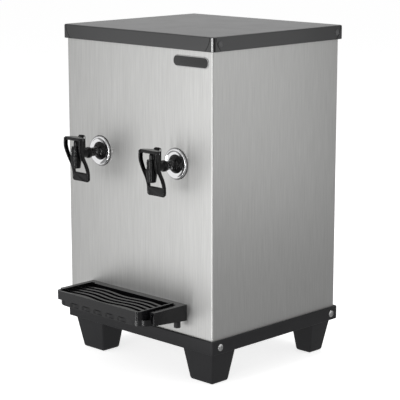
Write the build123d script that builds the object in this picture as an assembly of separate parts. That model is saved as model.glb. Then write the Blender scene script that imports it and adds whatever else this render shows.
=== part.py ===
"""Countertop water cooler with two push-back lever taps and a drip tray.

Millimetres. +Z is up, the taps face -Y and +X is on the right of someone who looks at the taps.
The origin is on the surface that the feet stand on, at the centre of the whole cooler's box.
Every piece is modelled about the middle of the casing, and moved back as it is written, so that the tray
in front and the water inlet behind end up equally far from the origin.
"""

import os
from math import cos, hypot, pi, radians, sin, tan

from build123d import *

# Casing
case_width = 300.0
case_depth = 267.0
overall_height = 496.7
sheet = 1.0
bend_radius = 3.0
rear_flange = 14.0

# Clearances
nest_gap = 0.2
hole_gap = 0.2
running_gap = 0.05
seat_gap = 0.02
drawer_gap = 0.3
overrun = 1.0
merge = 0.5
small_round = 3.0
bend_share = 0.45

# Lid
lid_height = 21.3
lid_overhang = 4.2
lid_top = 2.5
lid_corner = 5.0
lid_edge = 2.0

# Base band, base plate and feet
foot_height = 50.1
band_height = 19.7
band_proud = 3.74
band_corner = 4.5
band_floor = 3.0
band_opening_width = 170.0
band_opening_depth = 150.0
plate = 1.5
plate_edge_gap = 0.5
plate_vent_length = 120.0
plate_vent_width = 6.0
plate_vent_pitch = 16.0
weld_nut_diameter = 12.0
weld_nut_height = 6.0
front_foot_width = 60.2
front_foot_depth = 48.9
rear_foot_width = 43.3
rear_foot_depth = 44.3
foot_inset = 7.8
foot_outer_taper = 8.6
foot_inner_taper = 7.2
foot_corner = 5.0
foot_sole_radius = 4.0
foot_pocket_diameter = 13.0
foot_pocket_depth = 26.0
foot_bolt_diameter = 6.0
foot_bolt_head_diameter = 10.0
foot_bolt_head_height = 5.0

# Casing screws
base_screw_head_diameter = 10.4
base_screw_head_height = 2.3
base_screw_inset = 12.0
base_screw_drop = 9.9
lid_screw_head_diameter = 8.8
lid_screw_head_height = 1.9
lid_screw_inset = 10.0
lid_screw_drop = 10.8
screw_shank_diameter = 4.0
screw_length = 10.0
slot_width = 1.1
slot_depth = 1.0
slot_length_share = 0.55
head_round_share = 0.6

# Back panel
back_panel_margin = 3.5
back_panel_end_gap = 0.6
back_screw_head_diameter = 7.0
back_screw_head_height = 1.6
back_screw_inset = 5.75
back_screw_rows = 3
back_screw_end_margin = 40.0
vent_width = 50.0
vent_height = 4.0
vent_pitch = 12.0
vent_rows = 10
vent_columns = 2
vent_column_gap = 10.0

# Badge plate
badge_width = 67.9
badge_height = 15.8
badge_thickness = 1.0
badge_corner = 7.4
badge_side_gap = 7.7
badge_drop = 37.1

# Taps
tap_spacing = 158.0
tap_height = 314.2
spout_reach = 47.5
shank_diameter = 13.0
shank_inside = 20.5
water_bore = 6.0
gasket_diameter = 45.0
gasket_thickness = 0.8
escutcheon_diameter = 44.0
escutcheon_face = 0.9
escutcheon_rim_height = 2.8
escutcheon_rim_width = 3.2
collar_base_diameter = 27.0
collar_top_diameter = 17.0
collar_length = 4.8
collar_ridges = 4
ridge_depth = 0.7
neck_diameter = 13.0
hub_diameter = 16.5
hub_setback = 24.5
spout_tip_drop = 20.0
spout_tip_diameter = 12.0
spout_taper_drop = 12.5
spout_taper_diameter = 14.3
bulge_drop = 5.0
bulge_diameter = 16.4
bonnet_base_drop = 1.2
bonnet_diameter = 14.5
bonnet_top_rise = 11.8
bonnet_top = 4.0
bonnet_edge = 1.0
chamber_neck_diameter = 12.0
chamber_diameter = 9.6
seat_drop = 11.2
seat_thickness = 2.0
seat_hole_diameter = 6.0
outlet_diameter = 9.4
stem_diameter = 7.0
stem_collar_diameter = 9.0
stem_collar_height = 2.0
stem_rod_diameter = 3.5
stem_foot_diameter = 6.0
stem_foot_height = 1.5
stem_lever_gap = 0.05
poppet_diameter = 8.6
poppet_height = 2.5
tap_spring_diameter = 8.8
tap_spring_wire = 1.0
back_nut_across = 19.0
back_nut_height = 6.0
elbow_diameter = 15.0
elbow_length = 12.0
elbow_drop = 14.0
hose_diameter = 11.0
hose_bore = 7.0

# Lever and its post
post_width = 11.0
post_setback = 11.0
post_depth = 7.0
post_slot = 5.4
post_slot_depth = 5.0
pin_rise = 24.0
pin_diameter = 3.0
lever_top_rise = 25.5
lever_plate_thickness = 4.5
lever_width = 36.0
lever_front_overhang = 6.5
arm_overhang = 5.5
lever_shoulder = 4.0
lever_neck_width = 14.0
lever_neck_gap = 0.8
tongue_width = 5.0
eye_diameter = 7.6
lever_height = 66.2
lever_lean = 14.5
arm_thickness = 3.4
arm_depth = 6.8
paddle_width = 34.0
paddle_height = 12.8
paddle_thickness = 4.0
paddle_corner = 4.0
# Each row of the arm: height, backward lean, half width and depth, from the paddle upwards, as shares of
# the lever's height, its lean, its half width and the arm's depth.
arm_shares = [
    (0.090, 1.00, 0.944, 0.80),
    (0.220, 0.96, 0.944, 0.82),
    (0.375, 0.74, 0.940, 0.89),
    (0.500, 0.45, 0.935, 0.92),
    (0.603, 0.24, 0.940, 0.95),
    (0.803, 0.00, 1.000, 1.00),
    (0.965, 0.02, 1.000, 1.00),
]

# Drip tray
tray_width = 199.0
tray_depth = 64.5
tray_top_height = 114.2
back_ledge = 12.5
side_ledge = 8.5
tray_wall = 2.5
skirt_back_drop = 23.5
skirt_front_drop = 18.6
rail_width = 5.0
rail_thickness = 2.0
rail_drop = 11.2
peg_diameter = 9.6
peg_setback = 13.5
peg_inset = 6.0
peg_length = 9.2
peg_top_drop = 23.0
peg_spigot_diameter = 4.0
peg_spigot_length = 8.0
peg_boss_diameter = 9.0
tray_screw_inset = 21.0
tray_screw_drop = 9.0
tray_boss_diameter = 8.0
tray_boss_length = 7.0
tray_screw_length = 7.0
pan_half_width = 81.0
pan_reach = 78.5
pan_face_half_width = 97.0
pan_face_reach = 80.5
pan_face_corner = 28.0
pan_face_drop = 10.7
pan_setback = 15.0
pan_floor_drop = 19.5
pan_top_drop = 8.6
pan_wall = 2.0
pan_front_corner = 24.0
pan_rear_corner = 6.0
pan_flange_thickness = 2.0
grille_half_width = 87.0
grille_reach = 84.0
grille_rise = 2.7
grille_wall = 3.0
grille_corner = 6.5
apron_drop = 10.3
rim_back = 16.5
curl_length = 6.5
curl_depth = 3.0
curl_rise_drop = 5.5
rib_count = 5
rib_pitch = 11.2
rib_width = 4.8
rib_height = 4.0
rib_top_drop = 1.5
first_rib_setback = 26.1
rib_wave = 2.5
rib_wavelength = 90.0
rib_points_per_wave = 8
crossbar_width = 3.0
crossbar_height = 2.5
crossbar_spacing = 45.0
crossbar_count = 3

# Tank
tank_diameter = 190.0
tank_wall = 1.0
tank_base_share = 0.3621
tank_head_room = 54.2
tank_rim_width = 9.0
tank_rim_thickness = 1.5
stub_side_inset = 45.0
stub_front_inset = 40.0
stub_end_drop = 13.0
cover_thickness = 3.0
cover_dome = 6.0
foam_thickness = 24.0
foam_gap = 0.5
foam_case_gap = 10.5
jacket_gap = 0.2
jacket_thickness = 2.5
jacket_low = 20.0
jacket_high = 20.0
jacket_slit = 12.0
chase_width = 24.0
chase_depth = 14.0
chase_top = 45.0
shelf_thickness = 1.5
shelf_front_gap = 35.5
shelf_back_gap = 11.5
shelf_lip = 15.0
hose_low_drop = 53.0
hose_hole_gap = 0.8

# Float valve and water inlet
valve_side_inset = 35.0
valve_rear_inset = 51.0
valve_diameter = 18.0
valve_rise = 16.0
valve_tail_diameter = 12.0
valve_inlet_rise = 9.0
valve_inlet_length = 8.0
fork_width = 14.0
fork_slot = 4.4
fork_drop = 22.0
fork_depth = 8.0
float_pin_diameter = 3.0
float_arm_diameter = 3.0
float_eye_width = 4.0
float_eye_diameter = 7.0
float_reach = 62.0
float_drop = 26.0
float_diameter = 40.0
inlet_diameter = 20.8
inlet_length = 14.0
inlet_hex = 27.0
inlet_hex_height = 4.0
inlet_hole_diameter = 17.0
inlet_nut_height = 5.0
inlet_tail_length = 16.0
inlet_bore = 6.0
inlet_tube_diameter = 8.0

# Compressor
compressor_side_gap = 19.0
compressor_y = 24.0
compressor_diameter = 112.0
compressor_height = 128.0
compressor_round = 26.0
compressor_foot_width = 136.0
compressor_foot_depth = 104.0
compressor_foot_thickness = 3.0
compressor_mount_diameter = 20.0
compressor_mount_height = 12.0
compressor_mount_inset = 11.0
stud_diameter = 6.0
stud_height = 20.0
pot_stub_offset = 20.0
pot_stub_length = 12.0

# Condenser and fan
condenser_side_gap = 15.0
condenser_width = 116.0
condenser_depth = 22.0
condenser_back_gap = 6.0
condenser_base_rise = 15.0
condenser_height = 130.0
condenser_end_plate = 2.0
fin_thickness = 1.0
fin_pitch = 6.0
condenser_tube_diameter = 8.0
condenser_tube_rows = 5
shroud_ring_diameter = 104.0
shroud_wall = 2.0
shroud_length = 25.0
shroud_flange = 1.5
shroud_spider = 3.0
shroud_hub_diameter = 52.0
spider_width = 8.0
spider_count = 3
spider_bore_diameter = 12.0
motor_diameter = 50.0
motor_length = 35.0
motor_shaft_diameter = 4.0
fan_diameter = 94.0
fan_hub_diameter = 30.0
fan_hub_length = 14.0
fan_hub_gap = 2.5
fan_blades = 5
blade_chord = 24.0
blade_thickness = 1.6
blade_pitch_degrees = 30.0

# Filter drier and refrigerant tubes
drier_diameter = 19.0
drier_length = 90.0
drier_back_gap = 41.5
drier_height = 110.0
drier_neck_diameter = 9.0
drier_neck_length = 8.0
drier_round = 3.0
copper_diameter = 6.0
capillary_diameter = 3.0
tube_rise = 12.0
tube_lane = 4.8
tube_run_out = 20.0

# Thermostat and mains inlet
thermostat_side_gap = 36.0
thermostat_drop = 104.7
thermostat_width = 34.0
thermostat_depth = 24.0
thermostat_tall = 30.0
thermostat_shaft_diameter = 6.0
thermostat_shaft_length = 12.0
knob_diameter = 28.0
knob_length = 12.0
knob_gap = 0.5
knob_flutes = 12
knob_flute_diameter = 3.0
knob_web = 3.0
pointer_width = 1.5
pointer_depth = 0.75
pointer_inset = 10.5
mains_side_gap = 42.0
mains_height = 100.0
mains_flange_width = 31.0
mains_flange_height = 24.0
mains_flange_thickness = 2.0
mains_body_width = 27.0
mains_body_height = 19.5
mains_body_depth = 22.0
mains_recess_width = 24.0
mains_recess_height = 16.5
mains_recess_depth = 17.0
blade_width = 2.0
blade_height = 4.5
blade_length = 12.0
blade_spacing = 7.0
blade_rise = 2.0

# Places worked out from the sizes above
half_width = case_width / 2
front = -case_depth / 2
back = case_depth / 2
band_top = foot_height + band_height
floor_top = foot_height + band_floor
plate_top = floor_top + plate
wrap_top = overall_height - lid_top
wrap_back = back - sheet
rear_reach = back + inlet_hex_height + inlet_length
casing_y = (grille_reach - front - rear_reach) / 2
base_screw_y = back - base_screw_inset
lid_screw_y = back - lid_screw_inset
base_screw_height = band_top - base_screw_drop
lid_screw_height = overall_height - lid_screw_drop
badge_x = half_width - badge_side_gap - badge_width / 2
tap_x = tap_spacing / 2
spout_y = front - spout_reach
post_y = spout_y + post_setback
pin_height = tap_height + pin_rise
lever_top = tap_height + lever_top_rise
lever_under = lever_top - lever_plate_thickness
lever_bottom = lever_top - lever_height
bonnet_under = tap_height + bonnet_top_rise - bonnet_top
bonnet_base = tap_height - bonnet_base_drop
seat_top = tap_height - seat_drop + seat_thickness
seat_under = tap_height - seat_drop
spout_tip = tap_height - spout_tip_drop
escutcheon_y = front - gasket_thickness
collar_y = escutcheon_y - escutcheon_face
tray_front = front - tray_depth
tray_half = tray_width / 2
bay_half = tray_half - side_ledge
tray_screw_x = bay_half - tray_screw_inset
peg_x = tray_half - peg_inset
peg_y = front - peg_setback
rail_top = tray_top_height - rail_drop
flange_top = rail_top + pan_flange_thickness
pan_floor = tray_top_height - pan_floor_drop
pan_top = tray_top_height - pan_top_drop
grille_top = tray_top_height + grille_rise
grille_front = front - grille_reach
apron_bottom = tray_top_height - apron_drop
rib_top = tray_top_height - rib_top_drop
mount_top = plate_top + compressor_mount_height
pot_base = mount_top + compressor_foot_thickness
pot_top = pot_base + compressor_height
tank_base = pot_top + tank_base_share * (wrap_top - pot_top)
shelf_top = tank_base - foam_thickness
shelf_front = front + shelf_front_gap
shelf_back = back - shelf_back_gap
tank_rim = wrap_top - tank_head_room
tank_rim_diameter = tank_diameter + 2 * tank_rim_width
foam_bore_diameter = tank_diameter + 2 * (jacket_gap + jacket_thickness + foam_gap)
foam_diameter = case_depth - 2 * (sheet + foam_case_gap)
stub_x = tank_diameter / 2 - stub_side_inset
stub_y = -tank_diameter / 2 + stub_front_inset
stub_end_height = shelf_top - stub_end_drop
hose_low_height = shelf_top - hose_low_drop
valve_x = -tank_diameter / 2 + valve_side_inset
valve_y = tank_diameter / 2 - valve_rear_inset
cover_top = tank_rim + tank_rim_thickness + cover_thickness
inlet_height = cover_top + valve_inlet_rise
compressor_x = -half_width + sheet + compressor_side_gap + compressor_foot_width / 2
condenser_x = half_width - sheet - condenser_side_gap - condenser_width / 2
condenser_base = plate_top + condenser_base_rise
condenser_back = wrap_back - sheet - condenser_back_gap
condenser_front = condenser_back - condenser_depth
fan_height = condenser_base + condenser_height / 2
ring_front = condenser_front - shroud_length
drier_x = -half_width + sheet + drier_diameter / 2
drier_y = back - drier_back_gap
thermostat_x = half_width - thermostat_side_gap
thermostat_height = overall_height - thermostat_drop
mains_x = -half_width + mains_side_gap
float_pin_height = tank_rim + tank_rim_thickness - fork_drop
FRONT_SIDES = [(-1, -1), (1, -1)]
REAR_SIDES = [(-1, 1), (1, 1)]
CORNERS = FRONT_SIDES + REAR_SIDES


def block(x0, x1, y0, y1, z0, z1):
    """A box between two corners."""
    centre = Pos((x0 + x1) / 2, (y0 + y1) / 2, (z0 + z1) / 2)
    return centre * Box(x1 - x0, y1 - y0, z1 - z0)


def rod_x(diameter, x0, x1, y, z):
    """A cylinder along X."""
    return Pos((x0 + x1) / 2, y, z) * Rot(0, 90, 0) * Cylinder(diameter / 2, x1 - x0)


def rod_y(diameter, x, y0, y1, z):
    """A cylinder along Y."""
    return Pos(x, (y0 + y1) / 2, z) * Rot(90, 0, 0) * Cylinder(diameter / 2, y1 - y0)


def rod_z(diameter, x, y, z0, z1):
    """A cylinder along Z."""
    return Pos(x, y, (z0 + z1) / 2) * Cylinder(diameter / 2, z1 - z0)


def rounded(width, y0, y1, z0, z1, radius):
    """An upright block, centred in x, whose four upright edges are rounded."""
    outline = RectangleRounded(width, y1 - y0, radius)
    return extrude(Pos(0, (y0 + y1) / 2, z0) * outline, z1 - z0)


def turned_z(points):
    """A solid turned about the Z axis from points of radius and height."""
    return revolve(Plane.XZ * make_face(Polyline(*points, close=True)), Axis.Z)


def turned_y(points):
    """A solid turned about the Y axis from points of radius and y."""
    return revolve(make_face(Polyline(*points, close=True)), Axis.Y)


def tube_along(path, diameter, bore=0):
    """A round tube swept along a path of straight runs and tangent arcs."""
    section = Circle(diameter / 2)
    if bore:
        section -= Circle(bore / 2)
    return sweep((path ^ 0) * section, path)


def bent_path(*points):
    """Straight runs joined by arcs that are as large as the shorter of their two runs allows."""
    spots = [Vector(*point) for point in points]
    radii = []
    for before, here, after in zip(spots, spots[1:], spots[2:]):
        run = min((here - before).length, (after - here).length)
        turn = radians((here - before).get_angle(after - here))
        radii.append(bend_share * run / tan(turn / 2))
    return FilletPolyline(*points, radius=radii)


def pan_head_screw(head_diameter, head_height, length):
    """A screw whose domed, cross-slotted head rises in +Z from the face that it clamps."""
    head = rod_z(head_diameter, 0, 0, 0, head_height)
    head = fillet(head.edges().sort_by(Axis.Z)[-1], head_height * head_round_share)
    slot = Box(head_diameter * slot_length_share, slot_width, slot_depth)
    cross = slot + Rot(0, 0, 90) * slot
    head -= Pos(0, 0, head_height - slot_depth / 2) * cross
    return head + rod_z(screw_shank_diameter, 0, 0, -length, merge)


def both_sides(solid):
    """A solid and its mirror image across the middle of the cooler."""
    return Compound([solid, mirror(solid, Plane.YZ)])


def side_screws(head_diameter, head_height, face_x, screw_y, height):
    """Four screws driven inwards through the two side faces."""
    screw = pan_head_screw(head_diameter, head_height, screw_length)
    solids = []
    for side_x, side_y in CORNERS:
        turn = Rot(0, 90 * side_x, 0)
        solids.append(Pos(side_x * face_x, side_y * screw_y, height) * turn * screw)
    return Compound(solids)


def side_screw_holes(screw_y, height):
    """The holes of those four screws, right across the casing."""
    reach = half_width + band_proud + lid_overhang
    hole = screw_shank_diameter + 2 * hole_gap
    return [rod_x(hole, -reach, reach, side_y * screw_y, height) for side_y in (-1, 1)]


def foot_plan(side_y):
    """The width, the depth and the outermost x and y of a foot's top."""
    width = front_foot_width if side_y < 0 else rear_foot_width
    depth = front_foot_depth if side_y < 0 else rear_foot_depth
    return width, depth, half_width + band_proud - foot_inset, back + band_proud - foot_inset


def foot_bolt_place(side_x, side_y):
    width, depth, outer_x, outer_y = foot_plan(side_y)
    return side_x * (outer_x - width / 2), side_y * (outer_y - depth / 2)


def foot(side_x, side_y):
    """A tapered block whose outer sides lean in more than its inner ones."""
    width, depth, outer_x, outer_y = foot_plan(side_y)
    shrink = foot_outer_taper + foot_inner_taper
    top = Pos(side_x * (outer_x - width / 2), side_y * (outer_y - depth / 2), foot_height)
    low_x = side_x * (outer_x - foot_outer_taper - (width - shrink) / 2)
    low_y = side_y * (outer_y - foot_outer_taper - (depth - shrink) / 2)
    sole = Pos(low_x, low_y, 0) * Rectangle(width - shrink, depth - shrink)
    solid = loft([sole.face(), (top * Rectangle(width, depth)).face()], ruled=True)
    sole_edges = solid.faces().sort_by(Axis.Z)[0].edges()
    top_edges = solid.faces().sort_by(Axis.Z)[-1].edges()
    upright = [edge for edge in solid.edges() if edge not in sole_edges and edge not in top_edges]
    solid = fillet(upright, foot_corner)
    solid = fillet(solid.faces().sort_by(Axis.Z)[0].edges(), foot_sole_radius)
    bolt_x, bolt_y = foot_bolt_place(side_x, side_y)
    solid -= rod_z(foot_pocket_diameter, bolt_x, bolt_y, -overrun, foot_pocket_depth)
    hole = foot_bolt_diameter + 2 * hole_gap
    return solid - rod_z(hole, bolt_x, bolt_y, 0, foot_height + overrun)


def foot_bolts():
    solids = []
    for side_x, side_y in CORNERS:
        x, y = foot_bolt_place(side_x, side_y)
        head_low = foot_pocket_depth - foot_bolt_head_height
        bolt = rod_z(foot_bolt_head_diameter, x, y, head_low, foot_pocket_depth)
        tip = plate_top + weld_nut_height
        solids.append(bolt + rod_z(foot_bolt_diameter, x, y, foot_pocket_depth - merge, tip))
    return Compound(solids)


def base_frame():
    """The moulded band: an upright wall round the casing's foot, and a floor with a wide opening."""
    band_y = back + band_proud
    wall = rounded(case_width + 2 * band_proud, -band_y, band_y, foot_height, band_top, band_corner)
    recess_y = back + nest_gap
    recess_width = case_width + 2 * nest_gap
    recess_corner = bend_radius + nest_gap
    wall -= rounded(recess_width, -recess_y, recess_y, floor_top, band_top + overrun, recess_corner)
    half_x = band_opening_width / 2
    half_y = band_opening_depth / 2
    wall -= block(-half_x, half_x, -half_y, half_y, foot_height - overrun, floor_top + overrun)
    for hole in side_screw_holes(base_screw_y, base_screw_height):
        wall -= hole
    bolt_hole = foot_bolt_diameter + 2 * hole_gap
    for corner in CORNERS:
        wall -= rod_z(bolt_hole, *foot_bolt_place(*corner), foot_height - overrun, floor_top + overrun)
    return wall


def compressor_mount_places():
    reach_x = compressor_foot_width / 2 - compressor_mount_inset
    reach_y = compressor_foot_depth / 2 - compressor_mount_inset
    return [(compressor_x + sx * reach_x, compressor_y + sy * reach_y) for sx, sy in CORNERS]


def base_plate():
    """The steel plate on the band's floor, with vents, weld nuts for the feet and compressor studs."""
    width = case_width - 2 * sheet - 2 * plate_edge_gap
    y0 = front + sheet + plate_edge_gap
    y1 = wrap_back - sheet - plate_edge_gap
    solid = rounded(width, y0, y1, floor_top, plate_top, bend_radius)
    rows = int(band_opening_depth / plate_vent_pitch) - 1
    slot = Box(plate_vent_length, plate_vent_width, plate + 2 * overrun)
    for row in range(rows):
        y = (row - (rows - 1) / 2) * plate_vent_pitch
        solid -= Pos(0, y, (floor_top + plate_top) / 2) * slot
    for corner in CORNERS:
        x, y = foot_bolt_place(*corner)
        nut = rod_z(weld_nut_diameter, x, y, plate_top - merge, plate_top + weld_nut_height)
        bolt = foot_bolt_diameter + 2 * seat_gap
        solid += nut
        solid -= rod_z(bolt, x, y, floor_top - overrun, plate_top + weld_nut_height + overrun)
    for x, y in compressor_mount_places():
        solid += rod_z(stud_diameter, x, y, floor_top, plate_top + stud_height)
    return solid


def back_screw_places():
    x = half_width - back_panel_margin - back_screw_inset
    low = band_top + back_screw_end_margin
    high = overall_height - lid_height - back_screw_end_margin
    step = (high - low) / (back_screw_rows - 1)
    return [(side * x, low + row * step) for side in (-1, 1) for row in range(back_screw_rows)]


def casing_wrap():
    """Front and sides bent from one stainless sheet, with narrow flanges behind for the back panel."""
    solid = rounded(case_width, front, wrap_back, floor_top, wrap_top, bend_radius)
    inner_width = case_width - 2 * sheet
    inner_corner = bend_radius - sheet
    low = floor_top - overrun
    high = wrap_top + overrun
    solid -= rounded(inner_width, front + sheet, wrap_back - sheet, low, high, inner_corner)
    open_x = half_width - rear_flange
    solid -= block(-open_x, open_x, wrap_back - sheet - overrun, wrap_back + overrun, low, high)
    for hole in side_screw_holes(base_screw_y, base_screw_height):
        solid -= hole
    for hole in side_screw_holes(lid_screw_y, lid_screw_height):
        solid -= hole
    hole = screw_shank_diameter + 2 * hole_gap
    for x, z in back_screw_places():
        solid -= rod_y(hole, x, wrap_back - sheet - overrun, wrap_back + overrun, z)
    for side in (-1, 1):
        shank_hole = shank_diameter + 2 * hole_gap
        solid -= rod_y(shank_hole, side * tap_x, front - overrun, front + sheet + overrun, tap_height)
        x = side * tray_screw_x
        z = tray_top_height - tray_screw_drop
        solid -= rod_y(hole, x, front - overrun, front + sheet + overrun, z)
    return solid


def back_panel():
    """The flat rear cover, with vents behind the condenser."""
    edge = half_width - back_panel_margin
    low = floor_top + back_panel_end_gap
    solid = block(-edge, edge, wrap_back, back, low, wrap_top - back_panel_end_gap)
    y0 = wrap_back - overrun
    y1 = back + overrun
    hole = screw_shank_diameter + 2 * hole_gap
    for x, z in back_screw_places():
        solid -= rod_y(hole, x, y0, y1, z)
    solid -= rod_y(inlet_hole_diameter + 2 * hole_gap, valve_x, y0, y1, inlet_height)
    solid -= rod_y(thermostat_shaft_diameter + 2 * overrun, thermostat_x, y0, y1, thermostat_height)
    half_x = mains_body_width / 2 + hole_gap
    half_z = mains_body_height / 2 + hole_gap
    solid -= block(mains_x - half_x, mains_x + half_x, y0, y1, mains_height - half_z, mains_height + half_z)
    slot = Plane.XZ * SlotOverall(vent_width, vent_height)
    cutter = extrude(slot, sheet + overrun, both=True)
    columns = vent_width + vent_column_gap
    for column in range(vent_columns):
        x = condenser_x + (column - (vent_columns - 1) / 2) * columns
        for row in range(vent_rows):
            z = fan_height + (row - (vent_rows - 1) / 2) * vent_pitch
            solid -= Pos(x, back, z) * cutter
    return solid


def back_panel_screws():
    screw = pan_head_screw(back_screw_head_diameter, back_screw_head_height, screw_length)
    return Compound([Pos(x, back, z) * Rot(-90, 0, 0) * screw for x, z in back_screw_places()])


def lid():
    """A shallow tray of a lid, upside down over the casing."""
    outer_y = back + lid_overhang
    width = case_width + 2 * lid_overhang
    skirt_bottom = overall_height - lid_height
    solid = rounded(width, -outer_y, outer_y, skirt_bottom, overall_height, lid_corner)
    solid = fillet(solid.faces().sort_by(Axis.Z)[-1].edges(), lid_edge)
    inner_y = back + nest_gap
    inner_width = case_width + 2 * nest_gap
    corner = bend_radius + nest_gap
    solid -= rounded(inner_width, -inner_y, inner_y, skirt_bottom - overrun, wrap_top, corner)
    for hole in side_screw_holes(lid_screw_y, lid_screw_height):
        solid -= hole
    return solid


def badge_plate():
    """A bare nameplate near the top right of the front."""
    outline = Plane.XZ * RectangleRounded(badge_width, badge_height, badge_corner)
    return Pos(badge_x, front, overall_height - badge_drop) * extrude(outline, badge_thickness)


def collar_points():
    """The ribbed cone that faces the escutcheon: radius and y of each ridge and groove, outwards."""
    points = []
    base = collar_base_diameter / 2
    drop = base - collar_top_diameter / 2
    for ridge in range(collar_ridges):
        near = ridge / collar_ridges
        far = (ridge + 1) / collar_ridges
        crest = base - near * drop
        points.append((crest, collar_y - near * collar_length))
        points.append((crest, collar_y - (near + far) / 2 * collar_length))
        points.append((crest - ridge_depth, collar_y - far * collar_length))
    return points


def tap_body():
    """A black moulded tap: threaded shank, ribbed collar, neck, hub, upright valve body and lever post."""
    shank = shank_diameter / 2
    tail = front + sheet + shank_inside
    outline = [(0, tail), (shank, tail), (shank, collar_y)]
    outline += collar_points()
    outline += [(neck_diameter / 2, collar_y - collar_length), (neck_diameter / 2, spout_y), (0, spout_y)]
    solid = Pos(0, 0, tap_height) * turned_y(outline)
    solid += Pos(0, front - hub_setback, tap_height) * Sphere(hub_diameter / 2)
    spout = [(0, spout_tip), (spout_tip_diameter / 2, spout_tip)]
    spout += [(spout_taper_diameter / 2, tap_height - spout_taper_drop)]
    spout += [(bulge_diameter / 2, tap_height - bulge_drop), (bulge_diameter / 2, bonnet_base)]
    spout += [(0, bonnet_base)]
    solid += Pos(0, spout_y, 0) * turned_z(spout)
    bonnet_room = bonnet_diameter + 2 * nest_gap
    solid -= rod_z(bonnet_room, 0, spout_y, bonnet_base, lever_top)
    solid += rod_z(chamber_neck_diameter, 0, spout_y, bonnet_base - merge, bonnet_under)
    half_post = post_width / 2
    post_front = post_y - post_depth / 2
    solid += block(-half_post, half_post, post_front, post_front + post_depth, tap_height, pin_height)
    solid += rod_x(post_depth, -half_post, half_post, post_y, pin_height)
    half_slot = post_slot / 2
    slot_floor = pin_height - post_slot_depth
    slot_top = pin_height + post_depth
    slot_ends = (post_front - overrun, post_front + post_depth + overrun)
    solid -= block(-half_slot, half_slot, *slot_ends, slot_floor, slot_top)
    solid -= rod_x(pin_diameter + 2 * seat_gap, -post_width, post_width, post_y, pin_height)
    solid -= rod_y(water_bore, 0, spout_y, tail + overrun, tap_height)
    solid -= rod_z(chamber_diameter, 0, spout_y, seat_top, bonnet_under + overrun)
    solid -= rod_z(seat_hole_diameter, 0, spout_y, spout_tip, seat_top + overrun)
    solid -= rod_z(outlet_diameter, 0, spout_y, spout_tip - overrun, seat_under)
    return solid


def bonnet():
    """The cap over the valve body that guides the stem."""
    top = tap_height + bonnet_top_rise
    solid = rod_z(bonnet_diameter, 0, spout_y, bonnet_base, top)
    solid = fillet(solid.edges().sort_by(Axis.Z)[-1], bonnet_edge)
    neck_room = chamber_neck_diameter + 2 * running_gap
    solid -= rod_z(neck_room, 0, spout_y, bonnet_base - overrun, bonnet_under)
    return solid - rod_z(stem_diameter + 2 * running_gap, 0, spout_y, bonnet_base, top + overrun)


def stem():
    """The push rod: round tip under the lever, a collar on the spring, and a foot that holds the seal."""
    tip = lever_under - stem_lever_gap - stem_diameter / 2
    solid = rod_z(stem_diameter, 0, spout_y, bonnet_under - stem_collar_height, tip)
    solid += Pos(0, spout_y, tip) * Sphere(stem_diameter / 2)
    collar_low = bonnet_under - stem_collar_height
    solid += rod_z(stem_collar_diameter, 0, spout_y, collar_low, bonnet_under)
    foot_top = seat_under - poppet_height
    solid += rod_z(stem_rod_diameter, 0, spout_y, foot_top - merge, collar_low + merge)
    return solid + rod_z(stem_foot_diameter, 0, spout_y, foot_top - stem_foot_height, foot_top)


def valve_seal():
    low = seat_under - poppet_height
    solid = rod_z(poppet_diameter, 0, spout_y, low, seat_under)
    return solid - rod_z(stem_rod_diameter + 2 * seat_gap, 0, spout_y, low - overrun, seat_under + overrun)


def tap_spring():
    """The sleeve that the closing spring fills, hidden in the valve chamber."""
    top = bonnet_under - stem_collar_height
    solid = rod_z(tap_spring_diameter, 0, spout_y, seat_top, top)
    bore = tap_spring_diameter - 2 * tap_spring_wire
    return solid - rod_z(bore, 0, spout_y, seat_top - overrun, top + overrun)


def lever_arm():
    """One arm, a ruled loft through upright sections that lean back towards the paddle."""
    sections = []
    for height_share, lean_share, width_share, depth_share in arm_shares:
        x = width_share * lever_width / 2 - arm_thickness / 2
        y = spout_y - arm_overhang + lean_share * lever_lean
        z = lever_bottom + height_share * lever_height
        section = Pos(x, y, z) * Rectangle(arm_thickness, depth_share * arm_depth)
        sections.append(section.face())
    return loft(sections, ruled=True)


def lever():
    """A loop: a plate that presses the stem, two arms and a paddle for the glass."""
    half = lever_width / 2
    neck = lever_neck_width / 2
    front_y = spout_y - lever_front_overhang
    neck_y = post_y - post_depth / 2 - lever_neck_gap
    shoulder_y = front_y + lever_shoulder
    outline = Polyline(
        (-half, front_y),
        (half, front_y),
        (half, shoulder_y),
        (neck, neck_y - lever_neck_gap),
        (neck, neck_y),
        (-neck, neck_y),
        (-neck, neck_y - lever_neck_gap),
        (-half, shoulder_y),
        close=True,
    )
    solid = extrude(Pos(0, 0, lever_under) * make_face(outline), lever_plate_thickness)
    tongue = tongue_width / 2
    solid += block(-tongue, tongue, neck_y - merge, post_y, lever_under, lever_top)
    solid += rod_x(eye_diameter, -tongue, tongue, post_y, pin_height)
    solid -= rod_x(pin_diameter + 2 * running_gap, -half, half, post_y, pin_height)
    arm = lever_arm()
    solid = solid + arm + mirror(arm, Plane.YZ)
    paddle_y = spout_y - arm_overhang + lever_lean
    outline = Plane.XZ * RectangleRounded(paddle_width, paddle_height, paddle_corner)
    paddle = extrude(outline, paddle_thickness / 2, both=True)
    return solid + Pos(0, paddle_y, lever_bottom + paddle_height / 2) * paddle


def pivot_pin():
    return rod_x(pin_diameter, -post_width / 2, post_width / 2, post_y, pin_height)


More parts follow.
